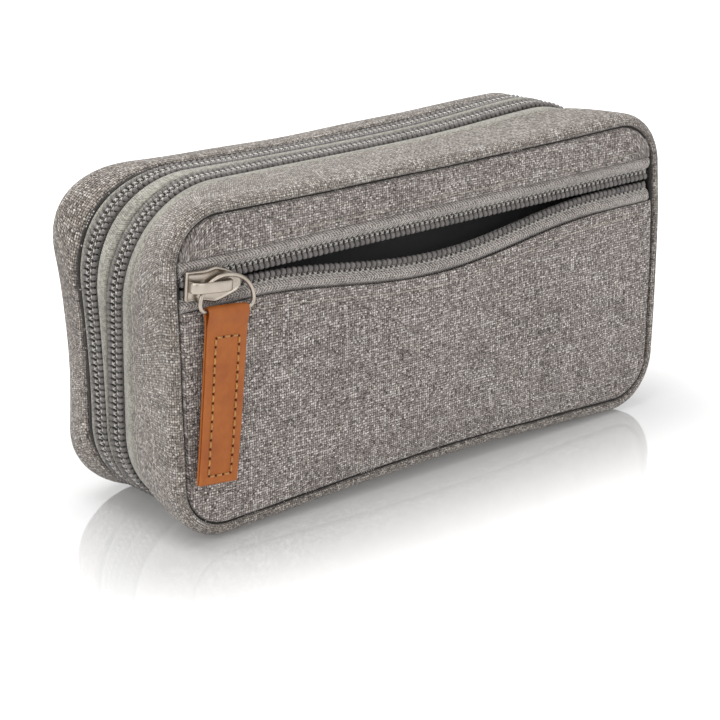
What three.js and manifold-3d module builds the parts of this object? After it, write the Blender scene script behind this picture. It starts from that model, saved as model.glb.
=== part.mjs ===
// A soft zip case with two compartments and a front pocket, for insulin pens and a cold pack.
// Units are millimetres. X runs along the case, -Y is the front, +Z is up.
// The case stands on its long hinge edge, and the origin is the middle of that edge.
import * as THREE from 'three';
import { mergeVertices } from 'three/addons/utils/BufferGeometryUtils.js';
import Module from 'manifold-3d';

const wasm = await Module();
wasm.setup();

// Driving dimensions of the case.
const caseLength = 210;
const caseHeight = 110;
const frontDepth = 34; // from the origin to the front face
const backDepth = 34; // from the origin to the back face
const topCornerRadius = 36; // outline of the zips, upper corners
const bottomCornerRadius = 30; // outline of the zips, lower corners
const faceCornerRadius = 20; // outline at the front face
const cornerSteps = 7;

// Layers, counted inwards from the outline.
const seatGap = 0.3; // between pieces that touch on the real case
const wallThickness = 2.2; // padded cloth
const tapeThickness = 0.8;
const tapeInset = wallThickness + seatGap;
const liningInset = tapeInset + tapeThickness + seatGap;

// Main zips.
const frontZipY = -1.8;
const zipSpacing = 11.2;
const backZipY = frontZipY + zipSpacing;
const chainWidth = 8;
const chainGap = 1.2; // leaves room for the post of a slider
const tapeShown = 3.5; // tape that shows beside the chain
const tapeTuck = 1.2; // tape that hides under the cloth
const zipEndInset = 43; // from each end of the case to the zip ends under it
const zipEndX = caseLength / 2 - zipEndInset;

// Front face.
const turnedEdge = 4; // rounded front edge of the gusset
const panelThickness = 1.6;
const panelInset = turnedEdge + seatGap;
const pocketZipDrop = 25.5; // from the top of the case down to the middle of the pocket zip
const pocketZipZ = caseHeight - pocketZipDrop;
const pocketWindow = 16; // height of both tapes together
const pocketLipSag = 6.5; // how far the open lower lip hangs down
const mouthEndInset = 29; // from each end of the case to where the lip starts to sag
const mouthHalfLength = caseLength / 2 - mouthEndInset;
const pocketTapeWidth = 9.5;
const pocketDepth = 8.4;
const coilProud = 0.6;

// Divider and what it carries.
const dividerThickness = 3.2;
const dividerY = frontZipY + zipSpacing / 2 - dividerThickness / 2;
const loopWidth = 22; // along the pen
const loopCount = 3;
const loopDepth = 15; // clear depth for a pen
const elasticThickness = 1;
const elasticEndInset = 53; // from each end of the case to the middle of an elastic
const elasticX = caseLength / 2 - elasticEndInset;
const elasticBottomZ = 14;
const elasticTopDrop = 21;
const loopPitch = (caseHeight - elasticBottomZ - elasticTopDrop) / loopCount;
const loopSpacing = 7; // between the clear openings of two loops
const loopHeight = loopPitch - loopSpacing; // clear height for a pen

// Back compartment.
const backEdgeY = 17; // depth over which the back edge rounds off
const backEdgeInset = 17; // how far in the rounded back edge reaches
const backSeamInset = 10;
const foamThickness = 4;
const foilThickness = 0.8;
const trayWallInset = 4.5;
const gelEndInset = 34; // from each end of the case to the gel pack
const gelBottomZ = 23;
const gelLength = caseLength - 2 * gelEndInset;
const gelHeight = caseHeight - 2 * gelBottomZ;
const gelThickness = 9;
const gelCorner = 12;
const netThickness = 0.8;
const netMargin = 3;

// Sliders, rings and pulls.
const plateThickness = 1.4;
const innerPlateThickness = 1;
const innerPlateWidth = 6.8;
const innerClearance = 0.8; // from the tapes back to the inner plate
const postThickness = 0.6;
const bridgeGap = 2.2;
const bridgeThickness = 1.1;
const bridgeWidth = 3.4;
const wire = 1.4;
const mainWire = 1.2;
const leather = 1.2;
const sliderWidth = 10.6;
const sliderLength = 20.6;
const mainSliderLength = 16;
const pocketSliderInset = 15.5; // from the left end of the case
const pocketSliderX = -caseLength / 2 + pocketSliderInset;
const mainSliderDrop = 42; // from the top of the case
const mainSliderZ = caseHeight - mainSliderDrop;
const ringDrop = 11;
const mainRingDrop = 9;
const pullWidth = 15;
const pullLength = 55;
const ringSideRoom = 3.2; // from the pull's edge to the outside of its ring
const mainPullWidth = 7.4;
const mainPullLength = 38;

const cloth = { color: 0x8d857b, roughness: 0.95, metalness: 0 };
const tapeCloth = { color: 0x8b8c84, roughness: 0.9, metalness: 0 };
const coilNylon = { color: 0x6c6d6c, roughness: 0.55, metalness: 0 };
const lining = { color: 0x3c3d3f, roughness: 0.9, metalness: 0 };
const foil = { color: 0xc9ccd0, roughness: 0.3, metalness: 0.9 };
const foam = { color: 0xd9dbdc, roughness: 0.95, metalness: 0 };
const gel = { color: 0x6fa8cf, roughness: 0.35, metalness: 0 };
const nickel = { color: 0xb9b3a8, roughness: 0.32, metalness: 1 };
const tan = { color: 0xb06a3a, roughness: 0.6, metalness: 0 };

const model = new THREE.Group();

function addPiece(name, geometry, look, parent = model) {
  const piece = new THREE.Mesh(geometry, new THREE.MeshStandardMaterial(look));
  piece.name = name;
  parent.add(piece);
  return piece;
}

// Makes a geometry from corners and triangles, and turns its faces outwards.
function solid(corners, triangles) {
  const a = new THREE.Vector3();
  const b = new THREE.Vector3();
  const c = new THREE.Vector3();
  let volume = 0;
  for (const [i, j, k] of triangles) {
    a.fromArray(corners[i]);
    b.fromArray(corners[j]);
    c.fromArray(corners[k]);
    volume += a.dot(b.cross(c));
  }
  const outward = volume > 0 ? triangles : triangles.map(([i, j, k]) => [i, k, j]);
  const geometry = new THREE.BufferGeometry();
  geometry.setAttribute('position', new THREE.Float32BufferAttribute(corners.flat(), 3));
  geometry.setIndex(outward.flat());
  return geometry;
}

// Joins rows of points into a skin. Each row has the same number of points.
function skinTriangles(rows, pointsPerRow, closedRows, closedPoints) {
  const triangles = [];
  const lastRow = closedRows ? rows : rows - 1;
  const lastPoint = closedPoints ? pointsPerRow : pointsPerRow - 1;
  for (let row = 0; row < lastRow; row += 1) {
    for (let point = 0; point < lastPoint; point += 1) {
      const nextRow = (row + 1) % rows;
      const nextPoint = (point + 1) % pointsPerRow;
      const a = row * pointsPerRow + point;
      const b = row * pointsPerRow + nextPoint;
      const c = nextRow * pointsPerRow + nextPoint;
      const d = nextRow * pointsPerRow + point;
      triangles.push([a, b, c], [a, c, d]);
    }
  }
  return triangles;
}

// One corner of the outline in X and Z, as points on an arc.
function cornerArc(centreX, centreZ, radius, fromQuarter, toQuarter) {
  const points = [];
  for (let step = 0; step <= cornerSteps; step += 1) {
    const angle = (fromQuarter + ((toQuarter - fromQuarter) * step) / cornerSteps) * (Math.PI / 2);
    points.push([centreX + radius * Math.cos(angle), centreZ + radius * Math.sin(angle)]);
  }
  return points;
}

// The outline of the case seen from the front, moved inwards, from the lower left corner clockwise.
function outline({ inset, top = topCornerRadius, bottom = bottomCornerRadius }) {
  const topX = caseLength / 2 - top;
  const bottomX = caseLength / 2 - bottom;
  const topZ = caseHeight - top;
  return [
    ...cornerArc(-bottomX, bottom, bottom - inset, 3, 2),
    ...cornerArc(-topX, topZ, top - inset, 2, 1),
    ...cornerArc(topX, topZ, top - inset, 1, 0),
    ...cornerArc(bottomX, bottom, bottom - inset, 0, -1),
  ];
}

// A ring all round the case: a closed profile of { y, inset } carried along the outline.
function closedRing(profile) {
  const loops = profile.map((station) => outline(station));
  const corners = [];
  for (let k = 0; k < loops[0].length; k += 1) {
    loops.forEach((loop, j) => corners.push([loop[k][0], profile[j].y, loop[k][1]]));
  }
  return solid(corners, skinTriangles(loops[0].length, profile.length, true, true));
}

// The same ring, left open under the case between the zip ends.
function zipRing(profile) {
  const loops = profile.map((station) => [
    [-zipEndX, station.inset],
    ...outline(station),
    [zipEndX, station.inset],
  ]);
  const rows = loops[0].length;
  const corners = [];
  for (let k = 0; k < rows; k += 1) {
    loops.forEach((loop, j) => corners.push([loop[k][0], profile[j].y, loop[k][1]]));
  }
  const triangles = skinTriangles(rows, profile.length, false, true);
  const last = (rows - 1) * profile.length;
  for (let j = 1; j < profile.length - 1; j += 1) {
    triangles.push([0, j + 1, j], [last, last + j, last + j + 1]);
  }
  return solid(corners, triangles);
}

// A plate or tray: an open profile of { y, inset } carried round the outline and closed at both ends.
function plate(profile) {
  const loops = profile.map((station) => outline(station));
  const count = loops[0].length;
  const corners = [];
  loops.forEach((loop, j) => loop.forEach(([x, z]) => corners.push([x, profile[j].y, z])));
  const triangles = skinTriangles(profile.length, count, false, true);
  const firstCentre = corners.length;
  corners.push([0, profile[0].y, caseHeight / 2]);
  corners.push([0, profile[profile.length - 1].y, caseHeight / 2]);
  const last = (profile.length - 1) * count;
  for (let k = 0; k < count; k += 1) {
    const next = (k + 1) % count;
    triangles.push([firstCentre, next, k], [firstCentre + 1, last + k, last + next]);
  }
  return solid(corners, triangles);
}

function rectangleProfile(y0, y1, inset0, inset1, radii = {}) {
  return [
    { y: y0, inset: inset0, ...radii },
    { y: y1, inset: inset0, ...radii },
    { y: y1, inset: inset1, ...radii },
    { y: y0, inset: inset1, ...radii },
  ];
}

function toManifold(geometry) {
  const bare = geometry.clone();
  bare.deleteAttribute('normal');
  bare.deleteAttribute('uv');
  const merged = mergeVertices(bare);
  return new wasm.Manifold(new wasm.Mesh({
    numProp: 3,
    vertProperties: new Float32Array(merged.attributes.position.array),
    triVerts: new Uint32Array(merged.index.array),
  }));
}

function fromManifold(shape) {
  const mesh = shape.getMesh();
  const geometry = new THREE.BufferGeometry();
  geometry.setAttribute('position', new THREE.BufferAttribute(mesh.vertProperties, 3));
  geometry.setIndex(new THREE.BufferAttribute(mesh.triVerts, 1));
  return geometry;
}

function join(first, ...others) {
  return fromManifold(others.reduce((whole, piece) => whole.add(toManifold(piece)), toManifold(first)));
}

function cut(body, ...tools) {
  return fromManifold(tools.reduce((whole, piece) => whole.subtract(toManifold(piece)), toManifold(body)));
}

function keep(body, tool) {
  return fromManifold(toManifold(body).intersect(toManifold(tool)));
}

function block(x0, x1, y0, y1, z0, z1) {
  const geometry = new THREE.BoxGeometry(x1 - x0, y1 - y0, z1 - z0);
  return geometry.translate((x0 + x1) / 2, (y0 + y1) / 2, (z0 + z1) / 2);
}

// Extrudes a shape drawn in X and Z from y0 back to y1.
function facePlate(shape, y0, y1) {
  const geometry = new THREE.ExtrudeGeometry(shape, { depth: y1 - y0, bevelEnabled: false });
  return geometry.rotateX(Math.PI / 2).translate(0, y1, 0);
}

// Front compartment: gusset wall with its turned edge.
const frontGussetY = frontZipY - chainWidth / 2 - tapeShown;
const edgeStartY = -frontDepth + turnedEdge;
const zipRadii = { top: topCornerRadius, bottom: bottomCornerRadius };
const faceRadii = { top: faceCornerRadius, bottom: faceCornerRadius };
const midRadii = {
  top: (topCornerRadius + faceCornerRadius) / 2,
  bottom: (bottomCornerRadius + faceCornerRadius) / 2,
};
const midGussetY = (frontGussetY + edgeStartY) / 2;
const edgeSteps = 3;
const frontGussetProfile = [
  { y: frontGussetY, inset: wallThickness, ...zipRadii },
  { y: frontGussetY, inset: 0, ...zipRadii },
  { y: midGussetY, inset: 0, ...midRadii },
];
for (let step = 0; step <= edgeSteps; step += 1) {
  const angle = (step / edgeSteps) * (Math.PI / 2);
  frontGussetProfile.push({
    y: edgeStartY - turnedEdge * Math.sin(angle),
    inset: turnedEdge * (1 - Math.cos(angle)),
    ...faceRadii,
  });
}
frontGussetProfile.push(
  { y: -frontDepth + panelThickness, inset: turnedEdge, ...faceRadii },
  { y: edgeStartY, inset: wallThickness, ...faceRadii },
  { y: midGussetY, inset: wallThickness, ...midRadii },
);
addPiece('front_gusset', closedRing(frontGussetProfile), cloth);

// Front face: the lips of the open pocket follow one smooth bump.
const lipSteps = 16;

function lipSag(x) {
  const share = Math.min(Math.abs(x) / mouthHalfLength, 1);
  return pocketLipSag * Math.cos((share * Math.PI) / 2) ** 2;
}

// A strip across the face between two heights that may both follow the sagging lip.
function faceStrip(bottomZ, topZ, bottomSags, topSags, inset) {
  const half = caseLength / 2 - inset;
  const stations = [-half];
  for (let step = 0; step <= lipSteps; step += 1) {
    stations.push(-mouthHalfLength + (2 * mouthHalfLength * step) / lipSteps);
  }
  stations.push(half);
  const lower = stations.map((x) => new THREE.Vector2(x, bottomZ - (bottomSags ? lipSag(x) : 0)));
  const upper = stations.map((x) => new THREE.Vector2(x, topZ - (topSags ? lipSag(x) : 0)));
  return new THREE.Shape([...lower, ...upper.reverse()]);
}

const faceFrontY = -frontDepth;
const faceBackY = faceFrontY + panelThickness;
const facePanel = plate([
  { y: faceFrontY, inset: panelInset, ...faceRadii },
  { y: faceBackY, inset: panelInset, ...faceRadii },
]);
const windowTopZ = pocketZipZ + pocketWindow / 2;
const windowBottomZ = pocketZipZ - pocketWindow / 2;
const overrun = 5;
const abovePocket = facePlate(
  faceStrip(windowTopZ, caseHeight + overrun, false, false, -overrun),
  faceFrontY - overrun,
  faceBackY + overrun,
);
const belowPocket = facePlate(
  faceStrip(-overrun, windowBottomZ, false, true, -overrun),
  faceFrontY - overrun,
  faceBackY + overrun,
);
addPiece('front_upper_panel', keep(facePanel, abovePocket), cloth);
addPiece('front_pocket_panel', keep(facePanel, belowPocket), cloth);

// Pocket zip: each tape tucks behind its panel, each coil sits on its tape.
const pocketTapeFrontY = faceBackY + seatGap;
const pocketTapeBackY = pocketTapeFrontY + tapeThickness;
const pocketCoilFrontY = faceFrontY - coilProud;
const pocketCoilBackY = pocketTapeFrontY - seatGap;
const pocketTapeInset = panelInset + seatGap;
const halfGap = chainGap / 2;
const pocketTapeTop = pocketZipZ + halfGap + pocketTapeWidth;
const pocketTapeBottom = pocketZipZ - halfGap - pocketTapeWidth;
addPiece('pocket_zip_upper_tape', facePlate(
  faceStrip(pocketZipZ + halfGap, pocketTapeTop, false, false, pocketTapeInset),
  pocketTapeFrontY,
  pocketTapeBackY,
), tapeCloth);
addPiece('pocket_zip_upper_coil', facePlate(
  faceStrip(pocketZipZ + halfGap, pocketZipZ + chainWidth / 2, false, false, pocketTapeInset),
  pocketCoilFrontY,
  pocketCoilBackY,
), coilNylon);
addPiece('pocket_zip_lower_tape', facePlate(
  faceStrip(pocketTapeBottom, pocketZipZ - halfGap, true, true, pocketTapeInset),
  pocketTapeFrontY,
  pocketTapeBackY,
), tapeCloth);
addPiece('pocket_zip_lower_coil', facePlate(
  faceStrip(pocketZipZ - chainWidth / 2, pocketZipZ - halfGap, true, true, pocketTapeInset),
  pocketCoilFrontY,
  pocketCoilBackY,
), coilNylon);

const pocketWallFrontY = pocketTapeBackY + pocketDepth;
addPiece('pocket_back_wall', plate([
  { y: pocketWallFrontY, inset: tapeInset, ...midRadii },
  { y: pocketWallFrontY + tapeThickness, inset: tapeInset, ...midRadii },
]), lining);

// Main zips: one row of coil and one tape on each side of each zip.
const zips = [
  { name: 'front_zip', centre: frontZipY, toLid: -1, backTuck: dividerY + dividerThickness / 2 },
  { name: 'back_zip', centre: backZipY, toLid: 1, backTuck: dividerY + dividerThickness / 2 },
];
for (const { name, centre, toLid, backTuck } of zips) {
  const coilStart = centre + toLid * halfGap;
  const coilEnd = centre + (toLid * chainWidth) / 2;
  const lidTapeEnd = coilEnd + toLid * (tapeShown + tapeTuck);
  addPiece(`${name}_lid_coil`, zipRing(rectangleProfile(coilStart, coilEnd, 0, wallThickness)), coilNylon);
  addPiece(
    `${name}_lid_tape`,
    zipRing(rectangleProfile(coilStart, lidTapeEnd, tapeInset, tapeInset + tapeThickness)),
    tapeCloth,
  );
  const innerStart = centre - toLid * halfGap;
  const innerEnd = centre - (toLid * chainWidth) / 2;
  const innerTapeEnd = backTuck + (toLid * seatGap) / 2;
  addPiece(`${name}_divider_coil`, zipRing(rectangleProfile(innerStart, innerEnd, 0, wallThickness)), coilNylon);
  addPiece(
    `${name}_divider_tape`,
    zipRing(rectangleProfile(innerStart, innerTapeEnd, tapeInset, tapeInset + tapeThickness)),
    tapeCloth,
  );
}

// Middle band: a ring between the zips that widens under the case to carry both hinges.
const bandFrontY = frontZipY + chainWidth / 2 + seatGap;
const bandBackY = backZipY - chainWidth / 2 - seatGap;
const hingeHalfLength = zipEndX - seatGap;
const hingeGap = seatGap / 2;
const bandRing = closedRing(rectangleProfile(bandFrontY, bandBackY, 0, wallThickness));
const bandFoot = block(
  -hingeHalfLength,
  hingeHalfLength,
  frontZipY + hingeGap,
  backZipY - hingeGap,
  0,
  wallThickness,
);
addPiece('middle_band', join(bandRing, bandFoot), cloth);
addPiece('front_hinge_strip', block(
  -hingeHalfLength,
  hingeHalfLength,
  frontGussetY + seatGap,
  frontZipY - hingeGap,
  0,
  wallThickness,
), cloth);
const backGussetY = backZipY + chainWidth / 2 + tapeShown;
addPiece('back_hinge_strip', block(
  -hingeHalfLength,
  hingeHalfLength,
  backZipY + hingeGap,
  backGussetY - seatGap,
  0,
  wallThickness,
), cloth);

addPiece('divider_panel', plate([
  { y: dividerY, inset: liningInset },
  { y: dividerY + dividerThickness, inset: liningInset },
]), lining);

// Pen elastics: a strip against the divider with a row of round loops.
function elasticShape() {
  const stripBack = 0;
  const stripFront = stripBack + elasticThickness;
  const bottom = -loopPitch / 2;
  const top = bottom + loopPitch * loopCount;
  const outline2d = new THREE.Shape();
  outline2d.moveTo(stripBack, bottom);
  outline2d.lineTo(stripFront, bottom);
  for (let loop = 0; loop < loopCount; loop += 1) {
    const centre = loop * loopPitch;
    const outerHalf = loopHeight / 2 + elasticThickness;
    outline2d.lineTo(stripFront, centre - outerHalf);
    outline2d.absellipse(
      stripFront,
      centre,
      loopDepth + elasticThickness,
      outerHalf,
      -Math.PI / 2,
      Math.PI / 2,
      false,
      0,
    );
    const hole = new THREE.Path();
    hole.moveTo(stripFront, centre - loopHeight / 2);
    hole.absellipse(stripFront, centre, loopDepth, loopHeight / 2, -Math.PI / 2, Math.PI / 2, false, 0);
    outline2d.holes.push(hole);
  }
  outline2d.lineTo(stripFront, top);
  outline2d.lineTo(stripBack, top);
  return outline2d;
}

const loopCurveSteps = 8;
for (const [name, side] of [['left_pen_elastic', -1], ['right_pen_elastic', 1]]) {
  const geometry = new THREE.ExtrudeGeometry(elasticShape(), {
    depth: loopWidth,
    bevelEnabled: false,
    curveSegments: loopCurveSteps,
  });
  // The shape's X goes to -Y, its Y goes to Z, and the extrusion goes to -X.
  const toRow = new THREE.Matrix4().makeBasis(
    new THREE.Vector3(0, -1, 0),
    new THREE.Vector3(0, 0, 1),
    new THREE.Vector3(-1, 0, 0),
  );
  geometry.applyMatrix4(toRow);
  const elastic = addPiece(name, geometry, lining);
  elastic.position.set(
    side * elasticX + loopWidth / 2,
    dividerY - seatGap,
    elasticBottomZ + loopPitch / 2,
  );
}

// Back compartment: the back edge rounds off as a quarter ellipse.
function backEdge(inset) {
  const share = Math.min(inset / backEdgeInset, 1);
  return backDepth - backEdgeY * (1 - Math.sqrt(1 - (1 - share) ** 2));
}

function backEdgeStation(inset, wall) {
  return { y: backEdge(inset) - wall, inset };
}

const backEdgeSteps = 3;
const backOuter = [];
const backInner = [];
for (let step = 0; step <= backEdgeSteps; step += 1) {
  const share = step / backEdgeSteps;
  backOuter.push(backEdgeStation(backSeamInset * share ** 2, 0));
  backInner.unshift({
    y: backEdge(backSeamInset * share ** 2) - wallThickness * share,
    inset: wallThickness + (backSeamInset - wallThickness) * share ** 2,
  });
}
addPiece('back_gusset', closedRing([
  { y: backGussetY, inset: wallThickness },
  { y: backGussetY, inset: 0 },
  ...backOuter.slice(1),
  ...backInner.slice(0, -1),
]), cloth);

const backPanelInset = backSeamInset + seatGap;
const backFlatInset = backEdgeInset;
addPiece('back_panel', plate([
  { y: backDepth, inset: backFlatInset },
  { y: backEdge(backPanelInset), inset: backPanelInset },
  { y: backEdge(backPanelInset) - wallThickness, inset: backPanelInset },
  { y: backDepth - wallThickness, inset: backFlatInset },
]), cloth);

// Cooled tray: foam, then foil, then the gel pack under its net.
const foamBackY = backEdge(backPanelInset) - wallThickness - seatGap;
const trayRimY = backGussetY + tapeTuck;
const foamFloorInset = backSeamInset + foamThickness;
const foamInnerInset = trayWallInset + foamThickness;
const foamFrontY = foamBackY - foamThickness;
addPiece('insulation_foam', plate([
  { y: backDepth - wallThickness - seatGap, inset: backFlatInset },
  { y: foamBackY, inset: foamFloorInset },
  { y: trayRimY, inset: trayWallInset },
  { y: trayRimY, inset: foamInnerInset },
  { y: foamFrontY, inset: foamFloorInset + foamThickness / 2 },
]), foam);
const foilWallInset = foamInnerInset + seatGap;
const foilFloorInset = foamFloorInset + foamThickness / 2 + foilThickness;
const foilBackY = foamFrontY - seatGap;
const foilFrontY = foilBackY - foilThickness;
addPiece('foil_liner', plate([
  { y: foilBackY, inset: foilFloorInset },
  { y: trayRimY, inset: foilWallInset },
  { y: trayRimY, inset: foilWallInset + foilThickness },
  { y: foilFrontY, inset: foilFloorInset + foilThickness },
]), foil);

// A rounded rectangle in X and Z, given by its size, its lower edge and its corner radius.
function roundedFace(length, height, bottomZ, corner) {
  const half = length / 2;
  const top = bottomZ + height;
  const shape = new THREE.Shape();
  shape.moveTo(-half + corner, bottomZ);
  shape.lineTo(half - corner, bottomZ);
  shape.absarc(half - corner, bottomZ + corner, corner, -Math.PI / 2, 0, false);
  shape.absarc(half - corner, top - corner, corner, 0, Math.PI / 2, false);
  shape.absarc(-half + corner, top - corner, corner, Math.PI / 2, Math.PI, false);
  shape.absarc(-half + corner, bottomZ + corner, corner, Math.PI, Math.PI * 1.5, false);
  return shape;
}

const gelBackY = foilFrontY - seatGap;
const gelFrontY = gelBackY - gelThickness;
addPiece('gel_pack', facePlate(roundedFace(gelLength, gelHeight, gelBottomZ, gelCorner), gelFrontY, gelBackY), gel);
const netOuter = facePlate(
  roundedFace(gelLength + 2 * netMargin, gelHeight + 2 * netMargin, gelBottomZ - netMargin, gelCorner + netMargin),
  gelFrontY - seatGap - netThickness,
  gelBackY,
);
const netInside = netMargin - netThickness;
const netCavity = facePlate(
  roundedFace(
    gelLength + 2 * netInside,
    gelHeight + 2 * netInside + overrun,
    gelBottomZ - netInside,
    gelCorner + netInside,
  ),
  gelFrontY - seatGap,
  gelBackY + overrun,
);
const netTopZ = gelBottomZ + gelHeight;
const netTop = block(
  -gelLength,
  gelLength,
  gelFrontY - overrun,
  gelBackY + overrun,
  netTopZ - netMargin,
  caseHeight,
);
addPiece('gel_pack_net', cut(netOuter, netCavity, netTop), lining);

// Sliders are drawn with X along the zip towards the open side, Y across it and Z outwards.
// Z is zero on the outer face of the coil.
const shoulderShare = 0.02; // of the slider's length, from its middle to its widest place
const tailShare = 0.37; // of its width
const noseShare = 0.28; // of its width
const flankLengthShare = 0.25; // of its length
const flankWidthShare = 0.45; // of its width

function sliderOutline(length, width) {
  const shoulder = length * shoulderShare;
  const half = length / 2;
  const tailHalf = width * tailShare;
  const noseRadius = width * noseShare;
  const flankX = length * flankLengthShare;
  const flankY = width * flankWidthShare;
  const shape = new THREE.Shape();
  shape.moveTo(-half, -tailHalf);
  shape.lineTo(-shoulder, -width / 2);
  shape.quadraticCurveTo(flankX, -flankY, half - noseRadius, -noseRadius);
  shape.absarc(half - noseRadius, 0, noseRadius, -Math.PI / 2, Math.PI / 2, false);
  shape.quadraticCurveTo(flankX, flankY, -shoulder, width / 2);
  shape.lineTo(-half, tailHalf);
  return shape;
}

const postShare = 0.25; // of the slider's length
const postSetbackShare = 0.125; // of the slider's length, from its nose

function sliderBody(length, width, depthToTapeBack) {
  const outer = new THREE.ExtrudeGeometry(sliderOutline(length, width), {
    depth: plateThickness,
    bevelEnabled: false,
    curveSegments: cornerSteps,
  }).translate(0, 0, seatGap);
  const innerTop = -depthToTapeBack - innerClearance;
  const inner = new THREE.ExtrudeGeometry(sliderOutline(length, innerPlateWidth), {
    depth: innerPlateThickness,
    bevelEnabled: false,
    curveSegments: 2,
  }).translate(0, 0, innerTop - innerPlateThickness);
  const postEnd = length / 2 - length * postSetbackShare;
  const half = postThickness / 2;
  const post = block(
    postEnd - length * postShare,
    postEnd,
    -half,
    half,
    innerTop - innerPlateThickness / 2,
    seatGap + plateThickness / 2,
  );
  return join(outer, inner, post);
}

// A flat strap over the slider with its two feet, which the ring hangs in.
const bridgeReachShare = 0.37; // of the slider's length, to each side
const bridgeCornerShare = 1.5; // of the strap's thickness

function bridgeStrap(length, setbackShare) {
  const half = length * bridgeReachShare;
  const corner = bridgeThickness * bridgeCornerShare;
  const footBottom = seatGap + plateThickness + seatGap;
  const gapTop = footBottom + bridgeGap;
  const strapTop = gapTop + bridgeThickness;
  const shape = new THREE.Shape();
  shape.moveTo(-half, footBottom);
  shape.lineTo(-half, gapTop);
  shape.quadraticCurveTo(-half, strapTop, -half + corner, strapTop);
  shape.lineTo(half - corner, strapTop);
  shape.quadraticCurveTo(half, strapTop, half, gapTop);
  shape.lineTo(half, footBottom);
  shape.lineTo(half - bridgeThickness, footBottom);
  shape.lineTo(half - bridgeThickness, gapTop);
  shape.lineTo(-half + bridgeThickness, gapTop);
  shape.lineTo(-half + bridgeThickness, footBottom);
  const geometry = new THREE.ExtrudeGeometry(shape, {
    depth: bridgeWidth,
    bevelEnabled: false,
    curveSegments: 3,
  });
  return geometry.rotateX(Math.PI / 2).translate(-length * setbackShare, bridgeWidth / 2, 0);
}

// A closed wire ring shaped like a D that hangs towards -Y from its crown at the origin.
function wireRing(width, drop, thickness) {
  const radius = thickness / 2;
  const halfWidth = width / 2 - radius;
  const foot = radius * 2;
  const crownHeight = Math.min(halfWidth, drop - foot);
  const path = [];
  const crownSteps = 12;
  for (let step = 0; step <= crownSteps; step += 1) {
    const angle = Math.PI - (Math.PI * step) / crownSteps;
    path.push([halfWidth * Math.cos(angle), -crownHeight + crownHeight * Math.sin(angle)]);
  }
  path.push([halfWidth, -drop + foot], [halfWidth - foot, -drop], [-halfWidth + foot, -drop], [-halfWidth, -drop + foot]);
  const sectionSteps = 8;
  const corners = [];
  path.forEach(([x, y], k) => {
    const before = path[(k + path.length - 1) % path.length];
    const after = path[(k + 1) % path.length];
    const tangent = new THREE.Vector2(after[0] - before[0], after[1] - before[1]).normalize();
    for (let step = 0; step < sectionSteps; step += 1) {
      const angle = (2 * Math.PI * step) / sectionSteps;
      const side = radius * Math.cos(angle);
      corners.push([x + tangent.y * side, y - tangent.x * side, radius * Math.sin(angle)]);
    }
  });
  return solid(corners, skinTriangles(path.length, sectionSteps, true, true));
}

// A leather strip folded round the ring's straight bar, which lies at the origin. It hangs towards -Y.
const throatShare = 1.6; // how far below the bar the two layers meet, of the fold's radius

function leatherPull(width, length, thickness) {
  const hole = thickness / 2 + seatGap;
  const outside = hole + leather;
  const shape = new THREE.Shape();
  shape.moveTo(-leather, -length);
  shape.lineTo(leather, -length);
  shape.lineTo(leather, -outside * throatShare);
  shape.lineTo(outside, 0);
  shape.absarc(0, 0, outside, 0, Math.PI, false);
  shape.lineTo(-leather, -outside * throatShare);
  const opening = new THREE.Path();
  opening.absarc(0, 0, hole, 0, Math.PI * 2, true);
  shape.holes.push(opening);
  const geometry = new THREE.ExtrudeGeometry(shape, { depth: width, bevelEnabled: false, curveSegments: 6 });
  // The shape's X goes to Z, and the extrusion goes to -X.
  return geometry.rotateY(-Math.PI / 2).translate(width / 2, 0, 0);
}

const ringLevel = seatGap + plateThickness + seatGap + bridgeGap / 2;

// Pocket slider: its zip runs along X, and its ring and pull hang down the face.
const pocketFrame = new THREE.Group();
pocketFrame.matrixAutoUpdate = false;
pocketFrame.matrix.makeBasis(
  new THREE.Vector3(1, 0, 0),
  new THREE.Vector3(0, 0, 1),
  new THREE.Vector3(0, -1, 0),
);
pocketFrame.matrix.setPosition(pocketSliderX, pocketCoilFrontY, pocketZipZ);
model.add(pocketFrame);
const pocketStack = pocketTapeBackY - pocketCoilFrontY;
addPiece('pocket_slider', sliderBody(sliderLength, sliderWidth, pocketStack), nickel, pocketFrame);
const bridgeSetbackShare = 0.09; // of the slider's length, towards its tail
addPiece('pocket_slider_bridge', bridgeStrap(sliderLength, bridgeSetbackShare), nickel, pocketFrame);
const pocketRingWidth = pullWidth + 2 * ringSideRoom;
const pocketRing = addPiece('pocket_ring', wireRing(pocketRingWidth, ringDrop, wire), nickel, pocketFrame);
const ringCrownY = bridgeWidth / 2 + wire;
const ringOffsetShare = 0.2; // of the slider's length, from its middle
const ringOffsetX = sliderLength * ringOffsetShare;
pocketRing.position.set(ringOffsetX, ringCrownY, ringLevel);
const pocketPull = addPiece('pocket_pull', leatherPull(pullWidth, pullLength, wire), tan, pocketFrame);
pocketPull.position.set(ringOffsetX, ringCrownY - ringDrop, ringLevel);

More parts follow.
